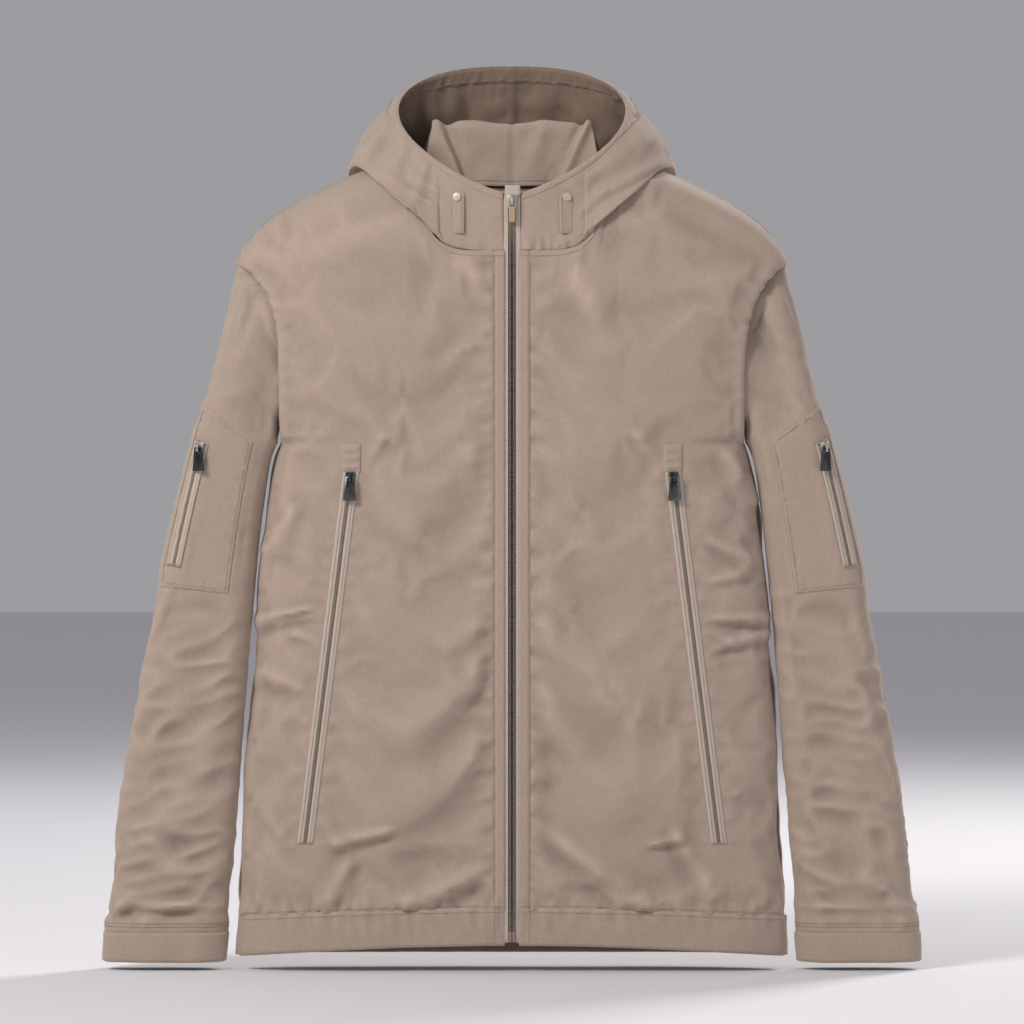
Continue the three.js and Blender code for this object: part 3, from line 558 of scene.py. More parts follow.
def canvas_group():
    """Plain-woven canvas: crossing threads, slubs in both directions and a soft uneven dye; the Crest input
    paints a highlight on crests and shade in hollows.
    """
    t, i, o = group("canvas weave",
                    [("Cut", "NodeSocketVector", None), ("Dye", "NodeSocketColor", (0.35, 0.28, 0.22, 1)),
                                     ("Thread", "NodeSocketFloat", 0.0011),
                     ("Slub", "NodeSocketFloat", 0.11),
                                     ("Crest", "NodeSocketFloat", 0.5)],
                    [("Color", "NodeSocketColor"), ("Height", "NodeSocketFloat"),
                     ("Roughness", "NodeSocketFloat")])
    cut = i.outputs["Cut"]
    apart = t.nodes.new("ShaderNodeSeparateXYZ")
    wire(t, cut, apart.inputs[0])
    pace = maths(t, "DIVIDE", 2 * math.pi, i.outputs["Thread"])
    u = maths(t, "SINE", maths(t, "MULTIPLY", apart.outputs[0], pace))
    v = maths(t, "SINE", maths(t, "MULTIPLY", apart.outputs[1], pace))
    threads = maths(t, "MULTIPLY", u, v)
    weft = noise_of(t, stretched(t, cut, (90, 900, 90)), 1.0, 2.0, 0.6)
    warp = noise_of(t, stretched(t, cut, (900, 90, 900)), 1.0, 2.0, 0.6)
    slubs = maths(t, "SUBTRACT", maths(t, "ADD", weft, warp), 1.0)
    dye = maths(t, "SUBTRACT", noise_of(t, cut, 9.0, 4.0, 0.6), 0.5)
    speck = maths(t, "SUBTRACT", noise_of(t, cut, 420.0, 2.0, 0.7), 0.5)
    shade = maths(t, "MULTIPLY_ADD", slubs, maths(t, "MULTIPLY", i.outputs["Slub"], 2.2), 1.0)
    shade = maths(t, "MULTIPLY_ADD", dye, 0.10, shade)
    shade = maths(t, "MULTIPLY_ADD", speck, 0.16, shade)
    shade = maths(t, "MULTIPLY_ADD", threads, 0.035, shade)
    # painted highlight on crests and painted shade in hollows, from the crest attribute
    painted_crest_shade = maths(t, "SUBTRACT", i.outputs["Crest"], 0.5)
    shade = maths(t, "MULTIPLY_ADD", painted_crest_shade, 0.42, shade)
    scale = t.nodes.new("ShaderNodeVectorMath")
    scale.operation = "SCALE"
    wire(t, i.outputs["Dye"], scale.inputs[0])
    wire(t, shade, scale.inputs["Scale"])
    wire(t, scale.outputs[0], o.inputs["Color"])
    height = maths(t, "MULTIPLY_ADD", threads, 0.5, maths(t, "MULTIPLY", slubs, 0.9))
    wire(t, height, o.inputs["Height"])
    wire(t, maths(t, "MULTIPLY_ADD", slubs, -0.12, 0.9), o.inputs["Roughness"])
    return t


def metal_group():
    """Cast zip metal: fine grain, rubbed bright along its edges."""
    t, i, o = group("rubbed metal",
                    [("Place", "NodeSocketVector", None),
                     ("Plate", "NodeSocketColor", (0.05, 0.05, 0.05, 1)),
                                     ("Rubbed", "NodeSocketColor", (0.5, 0.5, 0.48, 1)),
                     ("Edge", "NodeSocketFloat", 0.5)],
                    [("Color", "NodeSocketColor"), ("Height", "NodeSocketFloat"),
                     ("Roughness", "NodeSocketFloat")])
    grain = noise_of(t, i.outputs["Place"], 900.0, 3.0, 0.6)
    patch = noise_of(t, i.outputs["Place"], 160.0, 3.0, 0.6)
    edge = t.nodes.new("ShaderNodeMapRange")
    edge.inputs["From Min"].default_value, edge.inputs["From Max"].default_value = 0.5, 0.62
    wire(t, maths(t, "MULTIPLY_ADD", maths(t, "SUBTRACT", patch, 0.5), 0.12, i.outputs["Edge"]),
         edge.inputs["Value"])
    wire(t, blended(t, edge.outputs[0], i.outputs["Plate"], i.outputs["Rubbed"]), o.inputs["Color"])
    wire(t, grain, o.inputs["Height"])
    wire(t, maths(t, "MULTIPLY_ADD", patch, 0.3, 0.22), o.inputs["Roughness"])
    return t


CANVAS, METAL = canvas_group(), metal_group()


def painted(name, tree):
    """A new finish: its node tree, its shader and the group that drives it."""
    m = bpy.data.materials.new(name)
    m.use_nodes = True
    t = m.node_tree
    g = t.nodes.new("ShaderNodeGroup")
    g.node_tree = tree
    return m, t, next(n for n in t.nodes if n.type == "BSDF_PRINCIPLED"), g


def plug_in(t, g, shader, strength, depth):
    wire(t, g.outputs["Color"], shader.inputs["Base Color"])
    wire(t, g.outputs["Roughness"], shader.inputs["Roughness"])
    bump = t.nodes.new("ShaderNodeBump")
    bump.inputs["Strength"].default_value = strength
    bump.inputs["Distance"].default_value = depth
    wire(t, g.outputs["Height"], bump.inputs["Height"])
    wire(t, bump.outputs[0], shader.inputs["Normal"])


def linear(r, g, b):
    return (tuple((c / 255 / 12.92 if c <= 10 else ((c / 255 + 0.055) / 1.055) ** 2.4) for c in (r, g, b))
            + (1.0,))


def cloth_finish(name, colour, thread=0.0011, slub=0.11, depth=0.00016, sheen=0.18, coords="cut"):
    m, t, shader, g = painted(name, CANVAS)
    shader.inputs["Specular IOR Level"].default_value = 0.22
    shader.inputs["Sheen Weight"].default_value = sheen
    shader.inputs["Sheen Roughness"].default_value = 0.55
    if coords == "cut":
        uv = t.nodes.new("ShaderNodeUVMap")
        uv.uv_map = "cut"
        wire(t, uv.outputs[0], g.inputs["Cut"])
        crest = t.nodes.new("ShaderNodeAttribute")
        crest.attribute_name = "crest"
        wire(t, crest.outputs["Fac"], g.inputs["Crest"])
    else:
        place = t.nodes.new("ShaderNodeTexCoord")
        spread = t.nodes.new("ShaderNodeSeparateXYZ")
        wire(t, place.outputs["Object"], spread.inputs[0])
        turn = t.nodes.new("ShaderNodeCombineXYZ")
        wire(t, spread.outputs[0], turn.inputs[0])
        wire(t, spread.outputs[2], turn.inputs[1])
        wire(t, turn.outputs[0], g.inputs["Cut"])
    g.inputs["Dye"].default_value = linear(*colour)
    g.inputs["Thread"].default_value = thread
    g.inputs["Slub"].default_value = slub
    plug_in(t, g, shader, 0.55, depth)
    return m


def metal_finish(name, plate, rubbed, metallic=1.0):
    m, t, shader, g = painted(name, METAL)
    shader.inputs["Metallic"].default_value = metallic
    place = t.nodes.new("ShaderNodeTexCoord")
    wire(t, place.outputs["Object"], g.inputs["Place"])
    edge = t.nodes.new("ShaderNodeNewGeometry")
    wire(t, edge.outputs["Pointiness"], g.inputs["Edge"])
    g.inputs["Plate"].default_value = linear(*plate)
    g.inputs["Rubbed"].default_value = linear(*rubbed)
    plug_in(t, g, shader, 0.25, 0.00005)
    return m


SHELL = cloth_finish("taupe canvas", (170, 151, 136))
# the insides show a darker copy of the shell canvas: painted shade
SHADED_LINING = cloth_finish("shaded lining canvas", (150, 131, 116))
# a still darker copy of the shell canvas for the inside of the hood: painted shade
SHADED_HOOD_INSIDE = cloth_finish("shaded hood lining", (130, 110, 95))
SNAP = metal_finish("taupe snap enamel", (186, 170, 155), (214, 204, 192), metallic=0.15)
TAPE = cloth_finish("zip tape", (188, 174, 160), thread=0.0008, slub=0.07)
THREAD = cloth_finish("sewing thread", (158, 140, 125), thread=0.0005, slub=0.05, coords="place")
COIL = cloth_finish("zip coil", (140, 126, 115), thread=0.0006, slub=0.04, depth=0.00008, coords="place")
TAPE_CORD = cloth_finish("zip pull tape", (176, 150, 118), thread=0.0007, slub=0.06, coords="place")
GUNMETAL = metal_finish("gunmetal", (50, 52, 50), (128, 130, 126))
SILVER = metal_finish("worn silver", (176, 172, 164), (226, 222, 214))
BLACK = metal_finish("black enamel", (24, 24, 25), (92, 92, 92), metallic=0.6)

# ---------------------------------------------------------------- camera, lights, floor
camera = bpy.data.objects.new("camera", bpy.data.cameras.new("camera"))
bpy.context.scene.collection.objects.link(camera)
camera.location = (0, -4.2, -0.305)
camera.rotation_euler = (math.radians(90), 0, 0)
camera.data.lens, camera.data.sensor_width = 158, 36
camera.data.clip_end = 100
bpy.context.scene.camera = camera


def soft_light(name, place, aim, size, power, tint):
    lamp = bpy.data.objects.new(name, bpy.data.lights.new(name, "AREA"))
    bpy.context.scene.collection.objects.link(lamp)
    lamp.data.shape, lamp.data.size, lamp.data.size_y = "RECTANGLE", size[0], size[1]
    lamp.data.energy, lamp.data.color = power, tint
    lamp.location = place
    lamp.rotation_euler = (Vector(aim) - Vector(place)).to_track_quat("-Z", "Y").to_euler()
    lamp.visible_camera = False


for side, way in (("front", 1), ("back", -1)):
    soft_light(side + " key", (-1.7 * way, -1.9 * way, 1.5), (0, 0, -0.3), (0.9, 0.9), 62, (1, 0.985, 0.96))
    soft_light(side + " fill", (2.2 * way, -2.2 * way, 0.2), (0, 0, -0.35), (1.8, 1.8), 9, (0.96, 0.975, 1))

world = bpy.data.worlds.new("studio")
bpy.context.scene.world = world
world.use_nodes = True
world.node_tree.nodes["Background"].inputs["Color"].default_value = linear(214, 213, 218)
world.node_tree.nodes["Background"].inputs["Strength"].default_value = 0.5
bpy.context.scene.view_settings.view_transform = "Standard"

bpy.ops.mesh.primitive_plane_add(size=30, location=(0, 0, -0.732))
floor = bpy.context.object
floor.name = "floor"
floor_finish = bpy.data.materials.new("pale floor")
floor_finish.use_nodes = True
floor_finish.node_tree.nodes["Principled BSDF"].inputs["Base Color"].default_value = linear(228, 226, 230)
floor_finish.node_tree.nodes["Principled BSDF"].inputs["Roughness"].default_value = 0.95
floor.data.materials.append(floor_finish)

# ---------------------------------------------------------------- slack between the seams
def share(count):
    return np.linspace(0, 1, count)


def front_grid(us, levels):
    """One front, from the zip's edge to the side seam, on the wearer's left."""
    lev = levels[:, None] + 0 * us[None, :]
    x = mix(ZIP_EDGE, side_edge(lev), us[None, :])
    return body_point(x, lev, -1)


def back_grid(us, levels):
    lev = levels[:, None] + 0 * us[None, :]
    return body_point((2 * us[None, :] - 1) * side_edge(lev), lev, 1)


def sleeve_grid(count, shares):
    angle = np.linspace(0, 2 * math.pi, count, endpoint=False)
    return sleeve_point(angle[None, :] + 0 * shares[:, None], shares[:, None] + 0 * angle[None, :])


LEVEL_LOW, LEVEL_HIGH = BAND_TOP + SEAM, SHOULDER_Z
WING_FROM, WING_TO = angle_at(ZIP_EDGE + 0.4, NECK_HALF), math.radians(104)


def hood_grid(angles, ups):
    return hood_point(angles[None, :] + 0 * ups[:, None], ups[:, None] + 0 * angles[None, :])


def held_edges(rows, cols, sides=True):
    """How firmly each point of a panel is sewn down: fully at its edges, fading over three rows."""
    w = np.zeros((rows, cols))
    for k, v in ((0, 1.0), (1, 0.55), (2, 0.2)):
        w[k] = np.maximum(w[k], v)
        w[-1 - k] = np.maximum(w[-1 - k], v)
        if sides:
            w[:, k] = np.maximum(w[:, k], v)
            w[:, -1 - k] = np.maximum(w[:, -1 - k], v)
    return w


def swelled(grid, across, size, seed, height, ring=False):
    """A panel's starting shape: its pattern with a low swell, so that it buckles unevenly."""
    return grid + grid_normals(grid, ring) * (rumple(across, grid[..., 2], size, seed) * height)[..., None]


def slack_fields():
    """The movement of every large panel once its cloth has gone slack, at about 6 mm spacing."""
    levels = np.linspace(LEVEL_LOW, LEVEL_HIGH, 102)
    panels = {}
    for word, sign in SIDES:
        grid = front_grid(share(42), levels)
        seed = 3 if sign > 0 else 8
        grid = swelled(grid, grid[..., 0], 70, seed, 1.2)
        hold = held_edges(102, 42)
        zip_x = hand_zip_x(grid[..., 2])
        sewn = (np.abs(grid[..., 0] - zip_x) < 9) & (grid[..., 2] < -236) & (grid[..., 2] > -618)
        hold[sewn] = 1
        panels["front_" + word] = (grid, hold, 0.035, 1.6, False)
    grid = back_grid(share(84), levels)
    grid = swelled(grid, grid[..., 0], 80, 21, 1.5)
    panels["back"] = (grid, held_edges(102, 84), 0.03, 1.8, False)
    for word, sign in SIDES:
        grid = sleeve_grid(44, share(104))
        seed = 31 if sign > 0 else 37
        u = np.linspace(0, 264, 44, endpoint=False)[None, :] + 0 * grid[..., 0]
        grid = swelled(grid, u, 50, seed, 1.2, True)
        hold = held_edges(104, 44, sides=False)
        panels["sleeve_" + word] = (grid, hold, 0.045, 1.2, True)
    angles = np.linspace(WING_TO, 2 * math.pi - WING_TO, 74)
    fold = np.where(angles > math.pi, 2 * math.pi - angles, angles)
    grid = hood_grid(fold, share(34))
    grid[:, angles > math.pi, 0] *= -1
    grid = swelled(grid, grid[..., 0], 60, 44, 1.0)
    panels["pouch"] = (grid, held_edges(34, 74), 0.03, 1.6, False)
    return slacken(panels)


SLACK = slack_fields()


def slack_of(name, us, vs):
    if SLACK is None:
        return np.zeros((len(vs), len(us), 3))
    field = SLACK[name]
    if name.startswith("sleeve"):
        field = np.concatenate([field, field[:, :1]], 1)
    return resample(field, us, vs)


def with_front(obj):
    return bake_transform(obj)


def with_sleeve(obj):
    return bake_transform(obj)


def with_collar(obj):
    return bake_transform(obj)


def with_pouch(obj):
    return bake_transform(obj)


def mirrored(points, sign):
    points = points.copy()
    points[..., 0] *= sign
    return points


def towards(direction):
    """The facing of cloth that lies across one fixed direction."""
    return lambda points: np.array(direction) + 0 * points


FRONTWARDS, BACKWARDS = towards([0, -1.0, 0]), towards([0, 1.0, 0])


def from_middle(points):
    """Outwards from the middle of each row, for cloth that goes round an arm."""
    return points - points.mean(axis=1, keepdims=True)


def turned_to(normal, direction):
    """Normals turned over together, if need be, to the side that the directions point to."""
    return normal * np.sign((normal * direction).sum())


def stands_for(obj, slot, *nodes):
    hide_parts(*nodes)


# ---------------------------------------------------------------- stitches and teeth
def tapered_rod(name, sides, radius, length, tip):
    """A short rod along X from 0 to its length, drawn in at both ends."""
    only_none()
    bpy.ops.mesh.primitive_cylinder_add(vertices=sides, radius=radius * MM, depth=length * MM,
                                        location=(length / 2 * MM, 0, 0), rotation=(0, math.pi / 2, 0))
    rod = bpy.context.object
    rod.name = name
    bpy.ops.object.transform_apply(location=True, rotation=True, scale=True)
    for way in (1, -1):
        bpy.ops.object.mode_set(mode="EDIT")
        bpy.ops.mesh.select_all(action="DESELECT")
        shape = bmesh.from_edit_mesh(rod.data)
        shape.faces.ensure_lookup_table()
        end = max(shape.faces, key=lambda f: f.calc_center_median().x * way)
        end.select_set(True)
        bmesh.update_edit_mesh(rod.data)
        bpy.ops.mesh.extrude_region_move(TRANSFORM_OT_translate={"value": (way * tip * MM, 0,
                                                                           -radius * 0.6 * MM)})
        bpy.ops.transform.resize(value=(1, 0.45, 0.45))
        bpy.ops.object.mode_set(mode="OBJECT")
    return rod


def only_none():
    if bpy.context.object and bpy.context.object.mode != "OBJECT":
        bpy.ops.object.mode_set(mode="OBJECT")
    bpy.ops.object.select_all(action="DESELECT")


STITCH = tapered_rod("stitch", 6, 0.3, 1.5, 0.5)
only_none()
bpy.ops.mesh.primitive_cube_add(size=1, location=(0, 0, 0))
TOOTH = bpy.context.object
TOOTH.name = "tooth"
bpy.ops.transform.resize(value=(1.0 * MM, 2.5 * MM, 1.5 * MM))
bpy.ops.object.transform_apply(location=True, rotation=True, scale=True)
bpy.ops.object.mode_set(mode="EDIT")
bpy.ops.mesh.select_all(action="SELECT")
bpy.ops.mesh.bevel(offset=0.3 * MM, segments=1, affect="EDGES")
bpy.ops.object.mode_set(mode="OBJECT")
PATTERNS = [STITCH, TOOTH]


def run_along(pattern, name, points, pitch, finish):
    """Copies of one small shape laid end to end along a line of points, in millimetres."""
    line = bpy.data.curves.new(name + "_line", "CURVE")
    line.dimensions = "3D"
    line.twist_mode = "Z_UP"
    spline = line.splines.new("POLY")
    spline.points.add(len(points) - 1)
    for p, q in zip(spline.points, points):
        p.co = (*(np.array(q) * MM), 1)
    path = bpy.data.objects.new(name + "_line", line)
    bpy.context.scene.collection.objects.link(path)
    row = bpy.data.objects.new(name, pattern.data.copy())
    bpy.context.scene.collection.objects.link(row)
    row.data.materials.clear()
    row.data.materials.append(finish)
    repeat = row.modifiers.new("Array", "ARRAY")
    repeat.fit_type, repeat.curve = "FIT_CURVE", path
    repeat.use_relative_offset, repeat.use_constant_offset = False, True
    repeat.constant_offset_displace = (pitch * MM, 0, 0)
    bend = row.modifiers.new("Curve", "CURVE")
    bend.object, bend.deform_axis = path, "POS_X"
    apply_all(row)
    bpy.data.objects.remove(path)
    bpy.ops.object.shade_smooth_by_angle(angle=math.radians(50))
    return row


def stitched(name, lines, pitch=2.9):
    """One piece of topstitching, from one or more lines of points."""
    rows = []
    for k, points in enumerate(lines):
        points = [p for p in points if p is not None]
        if len(points) > 2:
            rows.append(run_along(STITCH, f"{name}_{k}", points, pitch, THREAD))
    only(*rows)
    if len(rows) > 1:
        bpy.ops.object.join()
    rows[0].name = name
    return rows[0]


def refined(node, piece, finish, soft=0.25):
    """A piece made from a copy of a CAD node, its edges rounded."""
    obj = bpy.data.objects.new(piece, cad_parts[node].data.copy())
    bpy.context.scene.collection.objects.link(obj)
    obj.data.materials.clear()
    obj.data.materials.append(finish)
    only(obj)
    bpy.ops.object.mode_set(mode="EDIT")
    bpy.ops.mesh.select_all(action="SELECT")
    bpy.ops.mesh.remove_doubles(threshold=1e-6)
    bpy.ops.mesh.dissolve_limited(angle_limit=math.radians(2))
    bpy.ops.object.mode_set(mode="OBJECT")
    edge = obj.modifiers.new("Bevel", "BEVEL")
    edge.width, edge.segments, edge.limit_method, edge.angle_limit = soft * MM, 3, "ANGLE", math.radians(30)
    apply_all(obj)
    bpy.ops.object.shade_smooth_by_angle(angle=math.radians(35))
    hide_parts(node)
    return obj


# ---------------------------------------------------------------- fronts
FRONT_FOLDS = {
    1: [((172, -403), (236, -404), 4.2, 3.4), ((180, -434), (238, -417), 4.6, 3.2),
        ((180, -415), (206, -426), 3.6, 2.4),
        ((10, -398), (124, -505), 20, 7.0), ((14, -455), (100, -585), 22, 6.0),
        ((40, -606), (132, -682), 13, 6.0),
        ((150, -600), (190, -665), 9, 4.0), ((126, -612), (158, -606), 4, 2.6),
        ((60, -78), (92, -160), 14, 3.0),
        ((112, -230), (146, -262), 7, 2.6), ((196, -250), (228, -300), 9, 3.0),
        ((30, -300), (120, -380), 22, 3.5),
        ((190, -562), (212, -567), 4, 2.4), ((180, -330), (226, -352), 6, 2.8),
        ((170, -372), (222, -360), 5, 2.4)],
    -1: [((178, -393), (238, -406), 4.0, 3.6), ((182, -401), (240, -413), 3.6, 2.8),
         ((178, -426), (204, -417), 4.2, 2.8),
         ((10, -428), (104, -520), 20, 7.0), ((12, -400), (66, -432), 11, 3.4),
         ((10, -630), (104, -672), 12, 5.5),
         ((110, -598), (168, -612), 6, 3.4), ((196, -588), (216, -608), 4, 2.6),
         ((52, -62), (14, -106), 9, 4.0),
         ((20, -520), (130, -600), 24, 4.5), ((118, -236), (146, -262), 7, 2.2),
         ((28, -240), (110, -330), 22, 3.0),
         ((186, -470), (238, -455), 8, 3.0), ((150, -630), (176, -676), 9, 3.5),
         ((200, -300), (226, -345), 9, 2.8)],
}


def front_relief(x, z, sign):
    """How far a front's cloth stands out, from its folds and the puckers of its seams."""
    seed = 50 if sign > 0 else 70
    off_zip = np.abs(x - hand_zip_x(z)) / 1.02
    by_zip = beside_pocket(off_zip, z)
    calm = ease((x - 17) / 22) * ease((by_zip - 9) / 22)
    edge = side_edge(z)
    calm = calm * ease((z - BAND_TOP) / 18) * ease((top_edge(x, True) - z) / 26 + 0.15)
    folds = 1.3 * sum(crease(x, z, *f) for f in FRONT_FOLDS[sign])
    soft = 1.5 * rumple(x, z, 110, seed) + 0.3 * rumple(x, z, 44, seed + 1)
    relief = calm * (folds + soft)
    relief = relief + pucker(x - 17, z, 15, 17, 1.25, seed + 2) * ease((x - 15.5) / 4)
    relief = (relief + pucker(np.where((z < -262) & (z > -616), off_zip - 8.5, 99), z, 10, 15, 0.9, seed
                              + 3) * ease((off_zip - 8) / 3))
    relief = relief + pucker(z - BAND_TOP, x, 13, 15, 1.5, seed + 4) * ease((z - BAND_TOP) / 4)
    neck = top_edge(np.minimum(x, 98), True) - z
    relief = relief + pucker(neck, x, 9, 12, 0.9, seed + 5) * ease(neck / 3) * ease((90 - x) / 14)
    armhole = np.where(z > ARMPIT_Z, edge - x, 99)
    relief = relief + armhole_relief(armhole, z, seed + 6)
    placket = 0.7 * ease((16.2 - x) / 1.6) - 0.8 * np.exp(-((x - 16.4) / 1.1) ** 2)
    return relief + placket


PLACKET, FRONT_WIDE = 12.6, 249.6
for word, sign in SIDES:
    edge_x = np.concatenate([np.linspace(0, PLACKET, 10),
                             np.linspace(PLACKET, FRONT_WIDE, 82)[1:]]) / FRONT_WIDE
    levels = np.linspace(LEVEL_LOW, LEVEL_HIGH, 208)
    base = front_grid(edge_x, levels)
    x, z = base[..., 0], base[..., 2]
    relief = front_relief(x, z, sign)
    give = slack_of("front_" + word, edge_x, share(208))
    off_zip = np.abs(x - hand_zip_x(z))
    by_zip = beside_pocket(off_zip, z)
    calm = ease((x - 16) / 20) * ease((by_zip - 10) / 22)
    give = 0.5 * np.clip(give, -8, 8) * calm[..., None]
    normal = turned_to(grid_normals(base), FRONTWARDS(base))
    outer = base + normal * relief[..., None] + give
    stand = relief + (give * normal).sum(-1)
    skin = Cloth("front_canvas_" + word, mirrored(outer, sign), 2.2, FRONTWARDS, crest=crest_of(stand, 10))
    skin.finish(SHELL, SHADED_LINING, held="hung")
    stands_for(skin.obj, "shell_canvas", "front_" + word, "front_side_" + word)

    levels = np.linspace(HEM_Z, BAND_TOP, 14)
    base = front_grid(edge_x, levels)
    x, z = base[..., 0], base[..., 2]
    roll = 0.9 * np.exp(-((z - HEM_Z - 1) / 4) ** 2)
    relief = hem_relief(x, z, 16, 16, 0.7, 90 + sign, 92 + sign) - roll
    normal = turned_to(grid_normals(base), FRONTWARDS(base))
    band = Cloth("front_hem_" + word, mirrored(base + normal * relief[..., None], sign), 3.2, FRONTWARDS,
                 crest=crest_of(relief, 4))
    band.finish(SHELL, SHADED_LINING, held="stretched", rests_on=[skin.obj.name])
    stands_for(band.obj, "shell_canvas", "front_hem_band_" + word, "side_hem_band_" + word)

    reach = np.linspace(9.5, 250, 300)
    over = [skin.at(sign * a, float(body_point(a, BAND_TOP + 3.2, -1)[2]), lift=0.12) for a in reach]
    under = [band.at(sign * a, float(body_point(a, BAND_TOP - 3.0, -1)[2]), lift=0.12) for a in reach]
    down = np.linspace(BAND_TOP + 2, -66, 400)
    placket = [skin.at(sign * 16.3, b, lift=0.15) for b in down]
    low = [band.at(sign * 16.3, b, lift=0.15) for b in np.linspace(HEM_Z + 15, BAND_TOP + 9, 30)]
    neck = [skin.at(sign * a, float(top_edge(np.array(a), True)) - 4.0, lift=0.15)
            for a in np.linspace(8, 84, 120)]
    sewing = stitched("front_stitching_" + word, [over, under, placket, low, neck])
    for piece in (skin.obj, band.obj, sewing):
        with_front(piece)

# ---------------------------------------------------------------- back
levels = np.linspace(LEVEL_LOW, LEVEL_HIGH, 206)
across = share(168)
base = back_grid(across, levels)
x, z = base[..., 0], base[..., 2]
BACK_FOLDS = [((150, -300), (60, -420), 24, 4.0), ((-150, -350), (-40, -470), 24, 4.5),
              ((60, -600), (-60, -560), 18, 4.5),
              ((-70, -620), (-160, -560), 16, 4.5), ((130, -640), (70, -590), 12, 4.5),
              ((190, -610), (150, -670), 9, 4.5),
              ((-200, -480), (-140, -560), 14, 4.0), ((20, -180), (-60, -260), 26, 2.6),
              ((100, -170), (190, -290), 26, 3.0),
              ((-110, -160), (-190, -260), 24, 3.0), ((210, -420), (150, -440), 9, 3.6),
              ((-215, -390), (-165, -420), 9, 3.0)]
folds = sum(crease(x, z, *f) for f in BACK_FOLDS)
calm = ease((z - BAND_TOP) / 16) * ease((top_edge(x, False) - z) / 26 + 0.1)
armhole = np.where(z > ARMPIT_Z, side_edge(z) - np.abs(x), 99)
relief = calm * (folds + 2.0 * rumple(x, z, 105, 24) + 0.9 * rumple(x, z, 42, 25))
relief = relief + pucker(z - BAND_TOP, x, 16, 13, 1.9, 26) * ease((z - BAND_TOP) / 4)
relief = relief + armhole_relief(armhole, z, 27)
give = 0.55 * np.clip(slack_of("back", across, share(206)), -9, 9)
normal = turned_to(grid_normals(base), BACKWARDS(base))
stand = relief + (give * normal).sum(-1)
back = Cloth("back_canvas", base + normal * relief[..., None] + give, 2.2, BACKWARDS,
             crest=crest_of(stand, 10))
back.finish(SHELL, SHADED_LINING, held="hung")
stands_for(back.obj, "shell_canvas", "back_panel")
levels = np.linspace(HEM_Z, BAND_TOP, 14)
base = back_grid(across, levels)
x, z = base[..., 0], base[..., 2]
relief = hem_relief(x, z, 18, 14, 0.9, 28, 29)
normal = turned_to(grid_normals(base), BACKWARDS(base))
hem = Cloth("back_hem", base + normal * relief[..., None], 3.2, BACKWARDS, crest=crest_of(relief, 4))
hem.finish(SHELL, SHADED_LINING, held="stretched", rests_on=["back_canvas"])
stands_for(hem.obj, "shell_canvas", "back_hem_band")
reach = np.linspace(-250, 250, 420)
sewing = stitched("back_stitching", [[back.at(a, BAND_TOP + 3.4, True, 0.12) for a in reach],
                                     [hem.at(a, BAND_TOP - 3.0, True, 0.12) for a in reach]])
for piece in (back.obj, hem.obj, sewing):
    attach(piece, "body")

